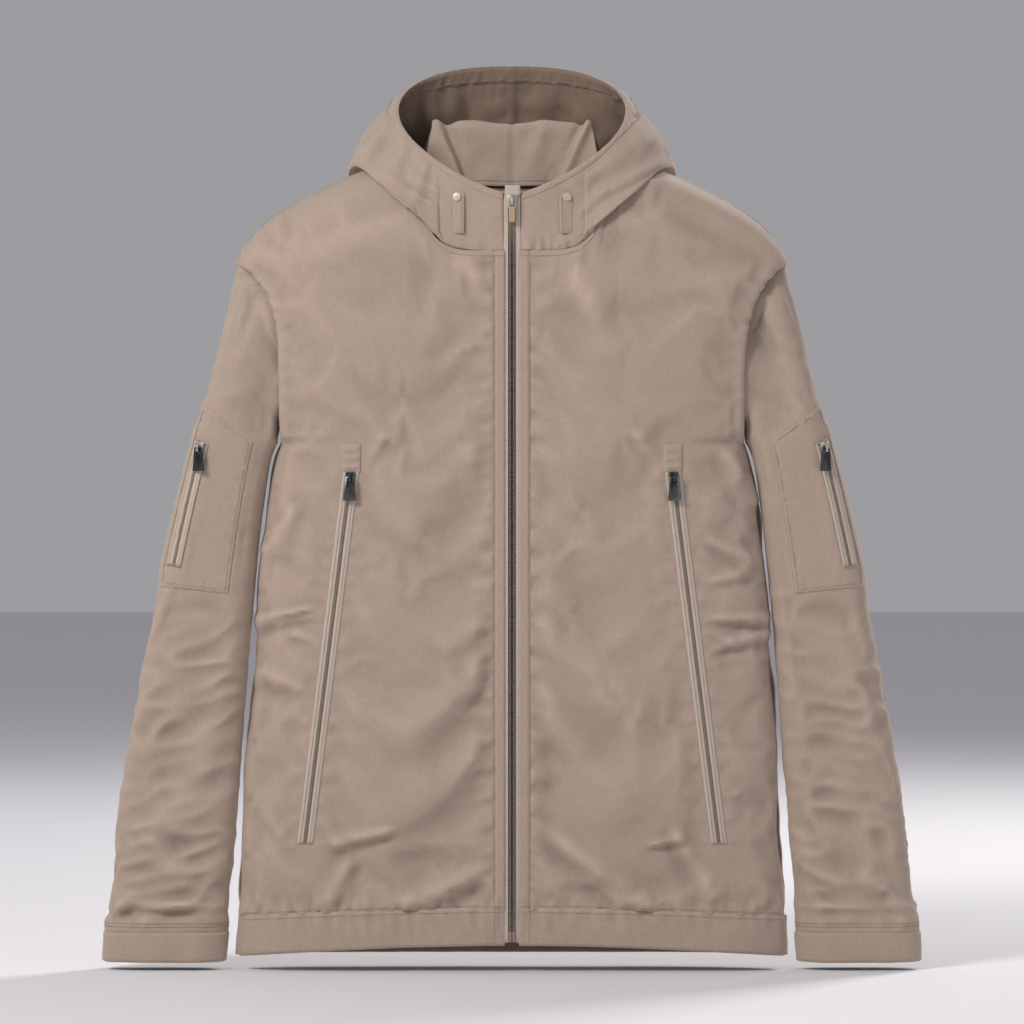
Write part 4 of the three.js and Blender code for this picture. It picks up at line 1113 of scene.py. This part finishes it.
# ---------------------------------------------------------------- sleeves
SLEEVE_COLUMNS, CUFF_SEAM_Z = 88, -697
sleeve_cloth = {}
for word, sign in SIDES:
    shares, turns = share(212), np.linspace(0, 2 * math.pi, SLEEVE_COLUMNS, endpoint=False)
    base = sleeve_grid(SLEEVE_COLUMNS, shares)
    u = round_lengths(base)
    x, z = base[..., 0], base[..., 2]
    front = base[..., 1] < 0
    seed = 110 if sign > 0 else 130
    lower = ease((-z - 330) / 140)
    warp = 9 * rumple(u, z, 60, seed)
    lines = rumple(u * 0.55 + z * 0.45 + warp, z * 1.25 - u * 0.35, 44, seed + 1)
    wrinkles = 1.0 - 2.1 * np.sqrt(lines * lines + 0.03)
    relief = (wrinkles * (0.5 + 1.25 * lower) + 1.6 * rumple(u, z, 85, seed + 2)
              + 0.4 * lower * rumple(u, z, 30, seed + 3))
    relief = relief * ease((z - CUFF_SEAM_Z) / 22)
    relief = relief + 2.2 * np.exp(-((z + 670) / 5) ** 2) - 2.4 * np.exp(-((z + 678) / 4) ** 2)
    share_at = shares[:, None] + 0 * u
    across_at = np.sign(np.cos(turns)) * np.abs(np.cos(turns)) ** (2 / 3.5) + 0 * u
    patch = ease((share_at - 0.19) / 0.03) * ease((0.51 - share_at) / 0.03) * ease((across_at
                                                                                    + 0.7) / 0.15) * front
    zip_calm = ease((share_at - 0.235) / 0.02) * ease((0.48 - share_at) / 0.02) * ease((across_at
                                                                                        - 0.3) / 0.12) * front
    relief = relief * (1 - 0.72 * patch) * (1 - zip_calm) * (1 - 0.6 * np.abs(across_at) ** 6)
    seam_gap = np.where(z > -150, x - side_edge(z), 99)
    relief = relief + pucker(np.abs(seam_gap - 3), z, 8, 7.5, 1.2, seed + 5) * (seam_gap > -3)
    relief = relief * ease(share_at / 0.02)
    armhole_fill = 5.0 * np.exp(-((x - side_edge(z) - 2) / 15) ** 2) * ease((z + 238)
                                                                            / 40) * ease((-84 - z) / 30)
    relief = relief + armhole_fill
    normal = turned_to(grid_normals(base, True), from_middle(base))
    give = 0.5 * np.clip(slack_of("sleeve_" + word, np.arange(SLEEVE_COLUMNS) / SLEEVE_COLUMNS, shares), -8,
                         8)
    give = give * ((1 - 0.6 * patch) * (1 - zip_calm))[..., None]
    tight = np.minimum(relief + (give * normal).sum(-1), 7.0)
    inner_side = ease((-0.35 - across_at) / 0.5) * ease((ARMPIT_Z + 40 - z) / 60)
    side_room = mix(relief, np.minimum(relief, 1.0) * 0.5, inner_side)
    outer = base + normal * side_room[..., None] + give * (1 - 0.7 * inner_side)[..., None]
    skin = Cloth("sleeve_canvas_" + word, mirrored(outer, sign), 2.2, from_middle, ring=True,
                 crest=crest_of(tight, 6))
    skin.finish(SHELL, SHADED_LINING, held="hung", rests_on=["back_canvas"])
    stands_for(skin.obj, "shell_canvas", "sleeve_" + word)
    sleeve_cloth[sign] = skin

    shares = np.linspace(1 + SEAM / SLEEVE_LENGTH, 1 + CUFF_WIDTH / SLEEVE_LENGTH, 10)
    base = sleeve_grid(SLEEVE_COLUMNS, shares)
    normal = turned_to(grid_normals(base, True), from_middle(base))
    u = round_lengths(base)
    relief = 0.9 + 0.7 * rumple(u, base[..., 2] * 0.5, 34, seed + 8) * np.linspace(0.2, 1, 10)[:, None]
    cuff = Cloth("cuff_canvas_" + word, mirrored(base + normal * relief[..., None], sign), 3.4, from_middle,
                 ring=True, crest=crest_of(relief, 3))
    cuff.finish(SHELL, SHADED_LINING, held="stretched", rests_on=[skin.obj.name])
    stands_for(cuff.obj, "shell_canvas", "cuff_" + word)
    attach(cuff.obj, "sleeve_" + word)
    with_sleeve(skin.obj)

# ---------------------------------------------------------------- hood
def hood_outwards(points):
    return points - np.array([0, 10.0, 20.0])


def hood_normals(angles, ups):
    base = hood_grid(angles, ups)
    normal = grid_normals(base)
    return normal * np.sign((normal * outward(angles)[None]).sum(-1, keepdims=True) + 1e-9)


WING_FOLDS = {
    1: [((80, -12), (142, 22), 5.5, 2.6), ((70, 4), (120, 40), 8, 2.2), ((104, 70), (128, 36), 7, 2.2),
        ((60, -30), (88, -6), 5, 1.8)],
    -1: [((72, -22), (118, 8), 4.5, 2.4), ((96, 74), (140, 26), 6, 2.8), ((86, 60), (112, 14), 6, 2.4),
         ((60, -14), (96, 8), 5, 2.2),
         ((112, 66), (146, 14), 5, 2.0), ((78, 20), (90, -18), 5, 1.8)],
}
wing_ups = np.concatenate([np.linspace(-1, 0, 26), np.linspace(0, 1, 64)[1:]])
# the lowest rows of a wing's inner face show the shell, and the rest show the darker hood inside, painted
# shade
WING_COLUMNS, SHELL_ROWS = 128, 36
wing_angles = np.linspace(WING_FROM, WING_TO, WING_COLUMNS)
wing_cloth = {}
for word, sign in SIDES:
    base = soften(hood_grid(wing_angles, wing_ups), 4)
    normal = hood_normals(wing_angles, wing_ups)
    x, z = base[..., 0], base[..., 2]
    up = wing_ups[:, None] + 0 * x
    u = lengths(base, 1)
    side = ease((x - 58) / 16)
    folds = sum(crease(x, z, *f) for f in WING_FOLDS[sign])
    relief = side * ease(up / 0.15 + 0.2) * ease((1 - up) / 0.25) * folds
    relief = relief + 0.9 * rumple(u, z, 48, 150 + sign) * ease((1 - up) / 0.2) * ease((up + 1) / 0.3)
    v = lengths(base, 0)
    relief = relief + pucker(v, u, 9, 11, 0.8, 152 + sign)
    relief = relief * ease((WING_TO - wing_angles) / 0.16)
    thick = mix(0.6, 3.0, ease((up - 0.04) / 0.2))
    wing = Cloth("hood_wing_" + word, mirrored(base + normal * relief[..., None], sign), thick,
                 hood_outwards, crest=crest_of(relief, 6))
    wing.finish(SHELL, SHADED_HOOD_INSIDE, held="folded", rests_on=["front_canvas_" + word])
    wide = WING_COLUMNS - 1
    first = wide * (len(wing_ups) - 1)
    for p in wing.obj.data.polygons[first:first + wide * SHELL_ROWS]:
        p.material_index = 0
    stands_for(wing.obj, "shell_canvas", "collar_" + word, "hood_side_" + word)
    wing_cloth[sign] = wing
    seam = [wing.outer[3, k] + mirrored(normal[3, k], sign) * 0.25 for k in range(WING_COLUMNS)]
    sewing = stitched("neck_stitching_" + word, [seam])
    for piece in (wing.obj, sewing):
        with_collar(piece)

for word, sign in SIDES:
    base = hood_grid(np.linspace(WING_TO, math.radians(123), 30), np.linspace(-1, -0.02, 26))
    under = Cloth("hood_underside_" + word, mirrored(base, sign), 0.8, towards([0, 0.4, -1.0]))
    under.finish(SHELL, SHADED_HOOD_INSIDE, held="folded", rests_on=["back_canvas"])
    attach(under.obj, "body")

POUCH_COLUMNS, TURNED_ROWS = 188, 8
pouch_angles = np.linspace(WING_TO, 2 * math.pi - WING_TO, POUCH_COLUMNS)
folded = np.where(pouch_angles > math.pi, 2 * math.pi - pouch_angles, pouch_angles)
pouch_ups = np.linspace(0, 1, 84)


def over_centre(points):
    points = points.copy()
    points[:, pouch_angles > math.pi, 0] *= -1
    return points


body_part = over_centre(hood_grid(folded, pouch_ups))
out = over_centre(outward(folded)[None])
turned = [body_part[0] - out[0] * 9 * math.sin(t * 1.57) + np.array([0, 0, 15 * t * t])
          for t in np.linspace(1, 0, TURNED_ROWS + 1)[:-1]]
base = soften(np.concatenate([np.array(turned), body_part]), 4)
up = np.concatenate([np.full(TURNED_ROWS, 0.0), pouch_ups])[:, None] + 0 * base[..., 0]
normal = grid_normals(base)
normal = normal * np.sign((normal[TURNED_ROWS:] * hood_outwards(body_part)).sum())
x, z = base[..., 0], base[..., 2]
POUCH_FOLDS = [((-100, -28), (-20, -60), 10, 3.0), ((20, -82), (66, -62), 6, 2.4),
               ((-70, -76), (-14, -84), 6, 2.4),
               ((4, 20), (16, -60), 8, 2.0), ((-14, 60), (-6, -20), 8, 2.2),
               ((90, -10), (40, -58), 11, 2.6),
               ((-140, 10), (-84, -50), 9, 2.4), ((142, 8), (96, -40), 9, 2.4),
               ((-8, -90), (20, -96), 4, 1.6)]
calm = ease(up / 0.12) * ease((1 - up) / 0.22)
join = ease(np.minimum(pouch_angles - WING_TO, 2 * math.pi - WING_TO - pouch_angles) / 0.16)
relief = calm * sum(crease(x, z, *f) for f in POUCH_FOLDS)
relief = relief + calm * (1.6 * rumple(x, z, 62, 160) + 0.7 * rumple(x, z, 24, 161))
give = np.zeros_like(base)
give[TURNED_ROWS:] = 0.7 * np.clip(slack_of("pouch", share(POUCH_COLUMNS), pouch_ups), -7,
                                   7) * join[None, :, None]
relief = (relief * join - 2.2 * np.exp(-(x / 2.2) ** 2)
          + pucker(np.abs(x) - 2, z, 11, 13, 1.2, 162) * ease((np.abs(x) - 1.5) / 3) * calm)
pouch = Cloth("hood_pouch_canvas", base + normal * relief[..., None] + give, 3.0, hood_outwards,
              crest=crest_of(relief + (give * normal).sum(-1), 8))
pouch.finish(SHELL, SHADED_HOOD_INSIDE, held="folded", rests_on=["back_canvas"])
stands_for(pouch.obj, "shell_canvas", "hood_pouch_left", "hood_pouch_right")
sewing = stitched("hood_seam_stitching",
                  [[pouch.at(sx, zz, True, 0.2) for zz in np.linspace(98, -96, 150)] for sx in (-4.0, 4.0)])
for piece in (pouch.obj, sewing):
    with_pouch(piece)


def brim(name, edge_grid, edge_normal, wall, width, seed):
    """A folded band over the hood's edge: its own width down the outer face and 14 mm down the inner face."""
    top, below = edge_grid[-1], edge_grid[-8]
    down = unit(below - top)
    n = edge_normal[-1]
    u = running(top)
    ends = ease(np.minimum(u, u[-1] - u) / 12)
    rows, stand = [], []
    for t in np.concatenate([np.linspace(1, 0.08, 13), [0.03, 0]]):
        s = t * width
        lump = pucker(width - s, u, 12, 9, 0.75,
                      seed) * ease((width - s) / 2.5) * ease(s / 3) * width / BRIM_WIDTH * ends
        roll = (0.35 + 0.75 * width / BRIM_WIDTH) - 0.9 * ease((1.6 - s) / 1.6)
        rows.append(top + down * s[:, None] + n * (roll + lump)[..., None])
        stand.append(lump - 0.6 * np.exp(-((width - s - 3) / 1.2) ** 2))
    for s in np.concatenate([[0, 0.5], np.linspace(1.2, BRIM_INNER, 11)]):
        lump = pucker(BRIM_INNER - s + 0 * u, u, 10, 10, 0.6, seed
                      + 1) * ease((BRIM_INNER - s) / 2.5) * ease(s / 3) * ends
        roll = wall + 0.8 - 0.9 * ease((1.6 - s) / 1.6)
        rows.append(top + down * s - n * (roll + lump)[..., None]
                    + (np.array([0, 0, 0.9]) if s < 0.2 else 0))
        stand.append(lump)
    grid, stand, outer_rows = np.array(rows), np.array(stand), 15
    facing = np.concatenate([np.repeat(n[None], outer_rows, 0),
                             -np.repeat(n[None], len(rows) - outer_rows, 0)])
    band = Cloth(name, grid, 0.7, lambda p: facing, crest=crest_of(stand, 4))
    band.finish(SHELL, SHELL, held="folded", corner=80)
    inner = band.obj.data
    # the band's inner rows take the darker hood inside finish: painted shade
    inner.materials.append(SHADED_HOOD_INSIDE)
    wide = grid.shape[1] - 1
    for k in range(outer_rows * wide, (len(rows) - 1) * wide):
        inner.polygons[k].material_index = 2
    outside = [p for p, w in zip(grid[2] + n * 0.3, width) if w > 13]
    return band, stitched(name + "_stitching", [outside, list(grid[-3] - n * 0.3)])


for word, sign in SIDES:
    wing = wing_cloth[sign]
    n = turned_to(wing.normal, hood_outwards(wing.outer))
    band, sewing = brim("hood_brim_" + word, wing.outer, n, 3.0,
                        mix(5.0, BRIM_WIDTH, ease((wing_angles - 1.0) / 0.8)), 170 + sign)
    stands_for(band.obj, "shell_canvas", "brim_side_" + word)
    for piece in (band.obj, sewing):
        with_collar(piece)
n = pouch.normal * np.sign((pouch.normal[TURNED_ROWS:] * hood_outwards(pouch.outer[TURNED_ROWS:])).sum())
band, sewing = brim("hood_brim_crown", pouch.outer, n, 3.0, np.full(POUCH_COLUMNS, BRIM_WIDTH), 175)
stands_for(band.obj, "shell_canvas", "brim_back")
for piece in (band.obj, sewing):
    with_pouch(piece)

# the layer inside the hood: up from the back neck, over at ear height and down behind into the pouch
nape_from = math.radians(125)
reach = np.linspace(-1, 1, 120)
angle = math.pi - np.abs(reach) * (math.pi - nape_from)
low = neck_seam(angle)
low[:, 0] *= np.sign(reach)
top_x = low[:, 0] * 0.92
top = np.stack([top_x, 46 - 6 * (top_x / NECK_HALF) ** 2, 60 + 0 * top_x], -1)
foot = hood_fold(math.pi - np.abs(reach) * (math.pi - math.radians(140)))
foot_x = np.sign(reach) * foot[:, 0] * 0.9
rows = [mix(low, top, t) - np.array([0, 4.0, 0]) for t in np.linspace(0.02, 0.96, 40)]
for t in np.linspace(0, math.pi, 12):
    lean = 6 * (top_x / NECK_HALF) ** 2 * (1 - t / math.pi)
    rows.append(np.stack([top_x, 46.1 - 4.1 * math.cos(t) - lean, 58.4 + 3.2 * math.sin(t) + 0 * top_x],
                         -1))
for t in np.linspace(0.02, 1, 46):
    rows.append(np.stack([mix(top_x, foot_x, t), 50.2 + 2.0 * t + 0 * top_x, mix(58.4, foot[:, 2] + 12, t)],
                         -1))
base = np.array(rows)
normal = grid_normals(base)
normal = normal * np.sign((normal[:40] * np.array([0, -1.0, 0])).sum())
x, z = base[..., 0], base[..., 2]
front_face = np.concatenate([np.ones(46), np.linspace(1, 0, 6), np.zeros(46)])[:, None] + 0 * x
v = lengths(base, 0)
relief = front_face * (crease(x, z, (74, 66), (42, -6), 5, 4.6) + crease(x, z, (-42, -6), (-74, 66), 5, 4.6)
                       + crease(x, z, (30, 58), (14, 10), 9, 1.8)
                       + crease(x, z, (-52, 60), (-20, 8), 8, 2.0)
                       - 1.4 * np.exp(-(x / 2.0) ** 2) + 1.4 * rumple(x, z, 38, 180)
                       + 1.6 * ease((v - 40) / 18))
relief = np.clip(relief + (1 - front_face) * 0.8 * rumple(x, z, 50, 181), -2.5, 5.5)
nape = Cloth("hood_nape_roll", base + normal * relief[..., None], 1.6, lambda p: normal,
             crest=crest_of(relief, 6))
nape.finish(SHELL, SHADED_LINING, held="folded", rests_on=["back_canvas"], corner=80)
stands_for(nape.obj, "lining", "hood_nape", "hood_fall")
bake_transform(nape.obj)
sewing = stitched("nape_stitching",
                  [[base[3, k] + normal[3, k] * (relief[3, k] + 0.3) for k in range(4, 116)]])
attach(sewing, "body")

reach, levels = np.linspace(-48.5, 48.5, 60), np.linspace(-17.2, -3.2, 12)
x, z = np.meshgrid(reach, levels)
y = HALF_SEAM + half_depth(x, z, 3.0) - 1.0
tape = Cloth("neck_binding", np.stack([x, y + 0.25 * rumple(x, z, 18, 190), z], -1), 0.8, FRONTWARDS)
tape.finish(TAPE, TAPE, held="stretched")
stands_for(tape.obj, "lining", "neck_tape")
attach(tape.obj, "body")

# ---------------------------------------------------------------- straps, welts and pocket tabs
def on_front(x, z, out):
    return np.stack([x, -(HALF_SEAM + half_depth(x, z)) - out, z], -1)


def small_cloth(name, grid, thick, facing, look, declare, crest=None, held="stretched", **more):
    piece = Cloth(name, grid, thick, facing, crest=crest)
    piece.finish(look, look, held=held, corner=50, declare=declare, **more)
    return piece


def lips(name, centre, across, out, half, inner, seed):
    """Two folded edges of cloth that meet over a zip, side by side; returns one joined piece."""
    made = []
    for k, way in enumerate((-1, 1)):
        s = np.concatenate([[inner, inner + 0.25], np.linspace(inner + 0.8, half - 0.6, 8), [half]])
        u = running(centre)
        grid = centre[:, None] + across[:, None] * (way * s)[None, :, None]
        raised = 1.25 - 0.55 * np.exp(-((s - inner) / 0.5) ** 2) - 0.9 * ease((s - half + 1.2) / 1.2)
        wave = 0.22 * pucker(0 * u, u, 10, 11, 1, seed + k)
        lift = (raised[None, :] + wave[:, None] * np.exp(-((s - 3.2) / 1.6) ** 2)[None, :]
                - 0.28 * np.exp(-((s[None, :] - 4.4) / 0.5) ** 2))
        grid = grid + out[:, None] * lift[..., None]
        made.append(small_cloth(f"{name}_{k}", grid, 0.9, lambda p: np.repeat(out[:, None], p.shape[1], 1),
                                TAPE, False, crest=crest_of(lift, 2)).obj)
    only(*made)
    bpy.ops.object.join()
    made[0].name = name
    return made[0]


PATCH_ACROSS, PATCH_ALONG, PATCH_SCALE = (-0.5, 0.92), (0.215, 0.485), 44
STRAP_STRAIGHT, STRAP_HALF = 33.25, 6.75
TEETH_X, TEETH_PITCH = 1.75, 1.75


def laid_on(skin):
    """Gives a way to place points on a sleeve's own cloth, and that cloth's outward normals."""
    rows, cols = skin.outer.shape[:2]
    outwards = turned_to(skin.normal, from_middle(skin.outer))

    def place(share_at, across, out):
        turn = np.arccos(np.sign(across) * np.abs(across) ** 1.75) / (2 * math.pi) * cols
        r = np.clip(share_at, 0, 1) * (rows - 1)
        i, j = np.minimum(r.astype(int), rows - 2), turn.astype(int) % cols
        a, b = (r - i)[..., None], (turn - turn.astype(int))[..., None]
        after = (j + 1) % cols
        read = lambda g: mix(mix(g[i, j], g[i, after], b), mix(g[i + 1, j], g[i + 1, after], b), a)
        return read(skin.outer) + read(outwards) * (out if np.isscalar(out) else out[..., None])

    return place, outwards


for word, sign in SIDES:
    z = np.linspace(HAND_ZIP_FOOT[1], HAND_ZIP_TOP[1], 130)
    x = hand_zip_x(z)
    centre = mirrored(on_front(x, z, 0.25), sign)
    out = mirrored(on_front(x, z, 1.0) - on_front(x, z, 0.0), sign)
    edge = on_front(x + 1, z, 0) - on_front(x - 1, z, 0)
    edge = mirrored(unit(edge), sign)
    welt = lips("hand_pocket_welt_lips_" + word, centre, edge, out, 7.4, 1.7, 200 + sign)
    stands_for(welt, "zip_tape", "hand_pocket_welt_" + word)
    coil = run_along(TOOTH, "hand_pocket_coil_" + word, list(centre + out * 0.2), 1.5, COIL)
    stitches = stitched("hand_pocket_stitching_" + word,
                        [list(centre + edge * w + out * 1.25) for w in (-4.6, 4.6)])
    s, v = np.meshgrid(np.linspace(-9, 9, 19), np.linspace(HAND_ZIP_TOP[1] + 0.3, HAND_ZIP_TOP[1] + 26, 40))
    bars = sum(np.exp(-((v - HAND_ZIP_TOP[1] - b) / 2.2) ** 2)
               for b in (4.5, 12.5, 20.5)) * ease((7.6 - np.abs(s)) / 2.5)
    lift = (1.2 + 1.0 * bars - 0.8 * ease((np.abs(s) - 7.8) / 1.2)
            - 0.5 * ease((v - HAND_ZIP_TOP[1] - 24.5) / 1.5))
    face = on_front(149 + s + 0 * v, v, 0.2 + lift)
    tab = small_cloth("hand_pocket_cover_" + word, mirrored(face, sign), 1.6, FRONTWARDS, SHELL, True,
                      crest=crest_of(lift, 2))
    stands_for(tab.obj, "shell_canvas", "hand_pocket_tab_" + word)
    u, v = np.meshgrid(share(30), np.linspace(HAND_ZIP_FOOT[1] + 20, HAND_ZIP_TOP[1] - 20, 70))
    x = mix(62 + 88 * (-72 - v) / 646 + 8, section_half(v) - 48, u)
    y = -(HALF_SEAM + half_depth(x, v, 3.0)) + 9.0 + 0.5 * rumple(x, v, 34, 210)
    bag = small_cloth("hand_pocket_lining_" + word, mirrored(np.stack([x, y, v], -1), sign), 1.2, BACKWARDS,
                      SHADED_LINING, True, held="hung")
    stands_for(bag.obj, "lining", "hand_pocket_bag_" + word)
    for piece in (welt, coil, stitches, tab.obj, bag.obj):
        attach(piece, "body")
    for node in ("slider", "pull"):
        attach(refined(f"hand_pocket_{word}_{node}", f"hand_zip_{node}_{word}", GUNMETAL),
                f"hand_pocket_{word}_{node}")

    # the sleeve's patch, laid on the sleeve's own cloth
    skin = sleeve_cloth[sign]
    on_sleeve, skin_out = laid_on(skin)
    (left, right), (head, foot) = PATCH_ACROSS, PATCH_ALONG
    across, v = np.meshgrid(np.linspace(left, right, 64), np.linspace(head, foot, 84))
    rim_gap = np.minimum(np.minimum(across - left, right - across) * PATCH_SCALE,
                         np.minimum(v - head, foot - v) * SLEEVE_LENGTH)
    lift = 1.25 - 0.7 * ease((1.0 - rim_gap) / 1.0) - 0.3 * np.exp(-((rim_gap - 3) / 0.8) ** 2)
    lift = (lift + 0.35 * rumple(across * PATCH_SCALE, v * SLEEVE_LENGTH, 9, 220
                                 + sign) * np.exp(-((rim_gap - 5) / 4) ** 2))
    patch = small_cloth("sleeve_patch_" + word, on_sleeve(v, across, lift), 1.1, FRONTWARDS, SHELL, True,
                        crest=crest_of(lift, 3), rests_on=[skin.obj.name])
    stands_for(patch.obj, "shell_canvas", "sleeve_pocket_" + word)
    loop = ([(-0.43, t) for t in np.linspace(0.222, 0.478, 60)]
            + [(a, 0.4795) for a in np.linspace(-0.42, 0.85, 34)])
    loop += [(0.86, t) for t in np.linspace(0.478, 0.222, 60)] + [(a, 0.2205)
                                                                  for a in np.linspace(0.85, -0.43, 34)]
    loop = np.array(loop)
    lines = [list(on_sleeve(loop[:, 1], loop[:, 0], 1.3))]
    t = np.linspace(0.455, 0.265, 80)
    centre, beside = on_sleeve(t, 0.66 + 0 * t, 1.3), on_sleeve(t, 0.70 + 0 * t, 1.3)
    edge = unit(beside - centre)
    out = on_sleeve(t, 0.66 + 0 * t, 2.3) - centre
    welt = lips("sleeve_welt_lips_" + word, centre, edge, out, 7.2, 1.5, 230 + sign)
    stands_for(welt, "zip_tape", "sleeve_pocket_welt_" + word)
    coil = run_along(TOOTH, "sleeve_coil_" + word, list(centre + out * 0.2), 1.5, COIL)
    lines += [list(centre + edge * w + out * 1.25) for w in (-5.2, 5.2)]
    for k in (0, -1):
        lines += [[centre[k] + edge[k] * w + out[k] * 1.4 + (centre[k - 1 if k else 1] - centre[k]) * g
                   for w in np.linspace(-6.5, 6.5, 12)] for g in (0.3, 0.8)]
    stitches = stitched("sleeve_pocket_stitching_" + word, lines)
    with_sleeve(patch.obj)
    with_sleeve(stitches)
    for piece in (welt, coil):
        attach(piece, "sleeve_" + word)
    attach(refined(f"sleeve_pocket_{word}_slider", f"sleeve_zip_slider_{word}", SILVER),
            f"sleeve_pocket_{word}_slider")
    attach(refined(f"sleeve_pocket_{word}_pull", f"sleeve_zip_pull_{word}", BLACK),
            f"sleeve_pocket_{word}_pull")

    # cuff stitching
    rows, cols = skin.outer.shape[:2]
    round_cuff = (np.linspace(0, 1, 90) * cols).astype(int) % cols
    cuff_rows = [[skin.outer[i, k] + skin_out[i, k] * 0.25 for k in round_cuff]
                 for i in (int(0.9945 * (rows - 1)), int(0.988 * (rows - 1)))]
    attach(stitched("cuff_stitching_" + word, cuff_rows), "sleeve_" + word)

    # neck tabs
    tab_angle = np.array(angle_at(50, NECK_HALF))
    low, high = neck_seam(tab_angle), rim(tab_angle)
    lean = high - low
    tilt, spin = -math.atan2(lean[1], lean[2]), sign * 0.22
    turn = np.array(Matrix.Rotation(spin, 3, "Z") @ Matrix.Rotation(tilt, 3, "X"))
    start = mix(low, high, 0.2) + outward(tab_angle) * 1.2
    start[0] *= sign
    t = np.concatenate([np.linspace(0, STRAP_STRAIGHT, 34), STRAP_STRAIGHT
                        + STRAP_HALF * np.sin(np.linspace(0.15, 1.5, 9))])
    half = np.where(t > STRAP_STRAIGHT, np.sqrt(np.maximum(STRAP_HALF**2 - (t - STRAP_STRAIGHT) ** 2, 0.8)),
                    STRAP_HALF)
    s = np.linspace(-1, 1, 17)
    lx, lz = half[:, None] * s[None, :], t[:, None] + 0 * s[None, :]
    rim_gap = np.minimum(half[:, None] - np.abs(lx), 40.2 - lz)
    lift = (1.6 + 0.35 * ease(rim_gap / 1.2) - 0.35 * np.exp(-((rim_gap - 1.9) / 0.5) ** 2)
            + 0.25 * np.exp(-((lz - 4) / 1.6) ** 2))
    local = np.stack([lx, -lift, lz], -1)
    strap = small_cloth("neck_strap_" + word, local @ turn.T + start, 1.5, FRONTWARDS, SHELL, True,
                        crest=crest_of(lift, 1))
    stands_for(strap.obj, "shell_canvas", "neck_tab_" + word)
    place = lambda a, b: turn @ np.array([a, -1.95, b]) + start
    edges = [[place(w, b) for b in np.linspace(2, 33, 14)] for w in (-4.7, 4.7)]
    bars = [[place(a, b) for a in np.linspace(-5, 5, 8)] for b in (2.5, 4.5)]
    stitches = stitched("neck_strap_stitching_" + word, edges + bars)
    for piece in (strap.obj, stitches, refined("tab_snap_" + word, "snap_" + word, SNAP, 0.35)):
        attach(piece, "neck_tab_" + word)

    # main zip
    zs = np.linspace(ZIP_FOOT_Z, ZIP_TOP_Z, 180)
    s = np.concatenate([[3.6, 3.8], np.linspace(4.2, 6.6, 5), [7.0, 7.2]])
    xx, zz = np.meshgrid(s, zs)
    lift = 0.25 + 0.35 * np.exp(-((xx - 4.0) / 0.5) ** 2) + 0.12 * rumple(zz, xx, 12, 240 + sign)
    y = zip_plane(zz) + 1.2 - lift
    tape = small_cloth("main_zip_tape_" + word, np.stack([sign * xx, y, zz], -1), 0.9, FRONTWARDS, TAPE,
                       False)
    stands_for(tape.obj, "zip_tape", "zip_tape_" + word)
    line = [(sign * TEETH_X, zip_plane(b) + 1.0, b) for b in np.linspace(-693, ZIP_TOP_Z, 160)]
    teeth = run_along(TOOTH, "main_zip_teeth_" + word, line, TEETH_PITCH, COIL)
    stands_for(teeth, "zip_teeth", "zip_teeth_" + word)
    end = refined("zip_box" if sign > 0 else "zip_pin", "main_zip_box" if sign > 0 else "main_zip_pin",
                  COIL, 0.5)
    for piece in (tape.obj, teeth, end):
        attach(piece, "front_" + word)

u, v = np.meshgrid(np.linspace(-6.4, 7.0, 24), np.linspace(-11.7, -3.2, 14))
lift = 2.6 - 1.0 * ease((v + 5.2) / 2) - 0.6 * ease((np.abs(u) - 5.4) / 1.2)
garage = small_cloth("zip_top_cover", np.stack([u, zip_plane(v) + 1.2 - lift, v], -1), 1.6, FRONTWARDS,
                     TAPE, False)
stands_for(garage.obj, "zip_tape", "zip_garage")
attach(garage.obj, "front_left")
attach(refined("main_slider", "main_zip_slider", SILVER), "main_slider")
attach(refined("main_pull", "main_zip_pull", TAPE_CORD, 0.5), "main_pull")

for pattern in PATTERNS:
    bpy.data.objects.remove(pattern)
